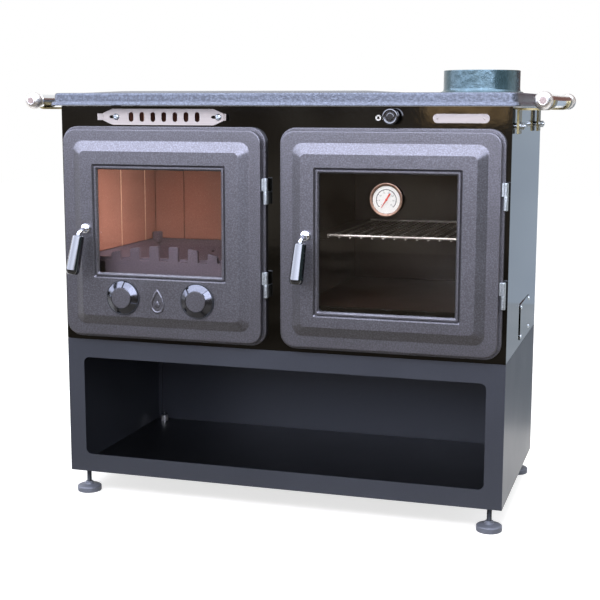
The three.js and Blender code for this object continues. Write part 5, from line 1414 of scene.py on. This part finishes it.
def cards():
    """Cloth in front under a bright sky, a dark hedge on the right and grey cards behind on the right"""
    cloth = cloth_and_sky()
    left, behind = ((-WIDE, 1.0), (-WIDE, FAR)), ((SIDE_NEAR, 2.6), (SIDE_FAR, 2.6))
    warm = upright((-0.58, FAR + 0.1), (-0.14, FAR + 0.1), 0.72, 0.86)
    hedge, ground = upright((WIDE, FAR), (WIDE, 0.5), 0, TOP), lying(SIDE_NEAR, SIDE_FAR, 0.6, 2.6, GROUND)
    card("cloth_front", upright((-WIDE, FAR), (WIDE, FAR), 0, TOP), cloth)
    card("cloth_left", upright(*left, 0.751, TOP), cloth)
    for name, corners, *look in (
        ("pale_left", upright(*left, 0, 0.75), "pale_left_card", "#8f8c8b", "#d4d8e0", 2.0, 600),
        ("sky_over", lying(-WIDE, WIDE, FAR, 0.8, TOP), "overcast_sky", SKY, SKY, SKY_LEVEL, 900),
        ("cloth_lying", lying(-WIDE, WIDE, FAR, -1.1, GROUND), "dim_cloth", "#443c33", "#7b7268", 1.0, 500),
        ("sill", lying(-WIDE, WIDE, -1.1, NEAR, GROUND), "pale_sill_card", "#8f8a84", "#c4bfb8", 1.0, 300),
        ("hedge_right", hedge, "dark_hedge", "#26332f", "#7f9a98", 1.0, 500),
        ("warm_card", warm, "warm_card", "#4a3826", "#d8b684", 6.0, 60),
        ("side_card", upright(*behind, 0, 0.845), "blue_grey_card", "#a6b4c6", "#b9c7d6", 1.0, 700),
        ("side_card_high", upright(*behind, 0.846, 2.6), "brown_card", "#6e4f49", "#8f6f68", 1.0, 400),
        ("side_ground", ground, "ground_card", "#a1abb6", "#b2bbc6", 1.0, 700),
    ):
        card(name, corners, card_colour(*look))


def world():
    sky = bpy.data.worlds.new("white_studio")
    bpy.context.scene.world = sky
    sky.use_nodes = True
    tree = sky.node_tree
    level = add(tree, "MapRange", {"Value": seen_directly(tree), "To Min": 0.6, "To Max": 1.0})
    feed(tree, tree.nodes["Background"], {"Color": (1, 1, 1, 1), "Strength": level.outputs["Result"]})


def studio():
    camera()
    world()
    stage("paper_floor", lying(-PAPER_REACH, PAPER_REACH, -PAPER_REACH, PAPER_REACH, 0), floor_paper())
    cards()
    softbox("high_front", (-0.6, -2.6, 2.7), (0, -0.1, 0.6), (3.4, 1.1), 100, "#eef1ff")
    softbox("overhead", (0.2, 0.4, 3.0), (0, 0, 0.8), (2.4, 1.6), 50)
    softbox("right_side", (3.4, -0.4, 1.6), (0.4, 0, 0.6), (1.6, 1.8), 16, "#e9f0ff")
    softbox("front_fill", (0.3, -3.0, 2.3), (0, 0, 0.6), (1.6, 0.8), 30, "#fff6ee")
    xs, ys, zs = spans("firebrick_lining")
    x, y, z = (end + shift for end, shift in zip((xs[1], ys[0], zs[1]), LAMP_SHIFT))
    lamp_at = (x * MM, FACE + y * MM, z * MM)
    lamp_to = (xs[0] * MM, FACE + middle(ys) * MM, zs[0] * MM)
    softbox("firebox_lamp", lamp_at, lamp_to, (0.09, 0.06), 0.95, "#fff0e4", 120)


base()
casing()
hob()
rails()
doors()
air_slider()
damper_pull()
index_ring()
blank_badge()
thermometer()
oven()
firebox()
studio()

scene = bpy.context.scene
scene.view_settings.view_transform = "Standard"
bpy.context.view_layer.update()
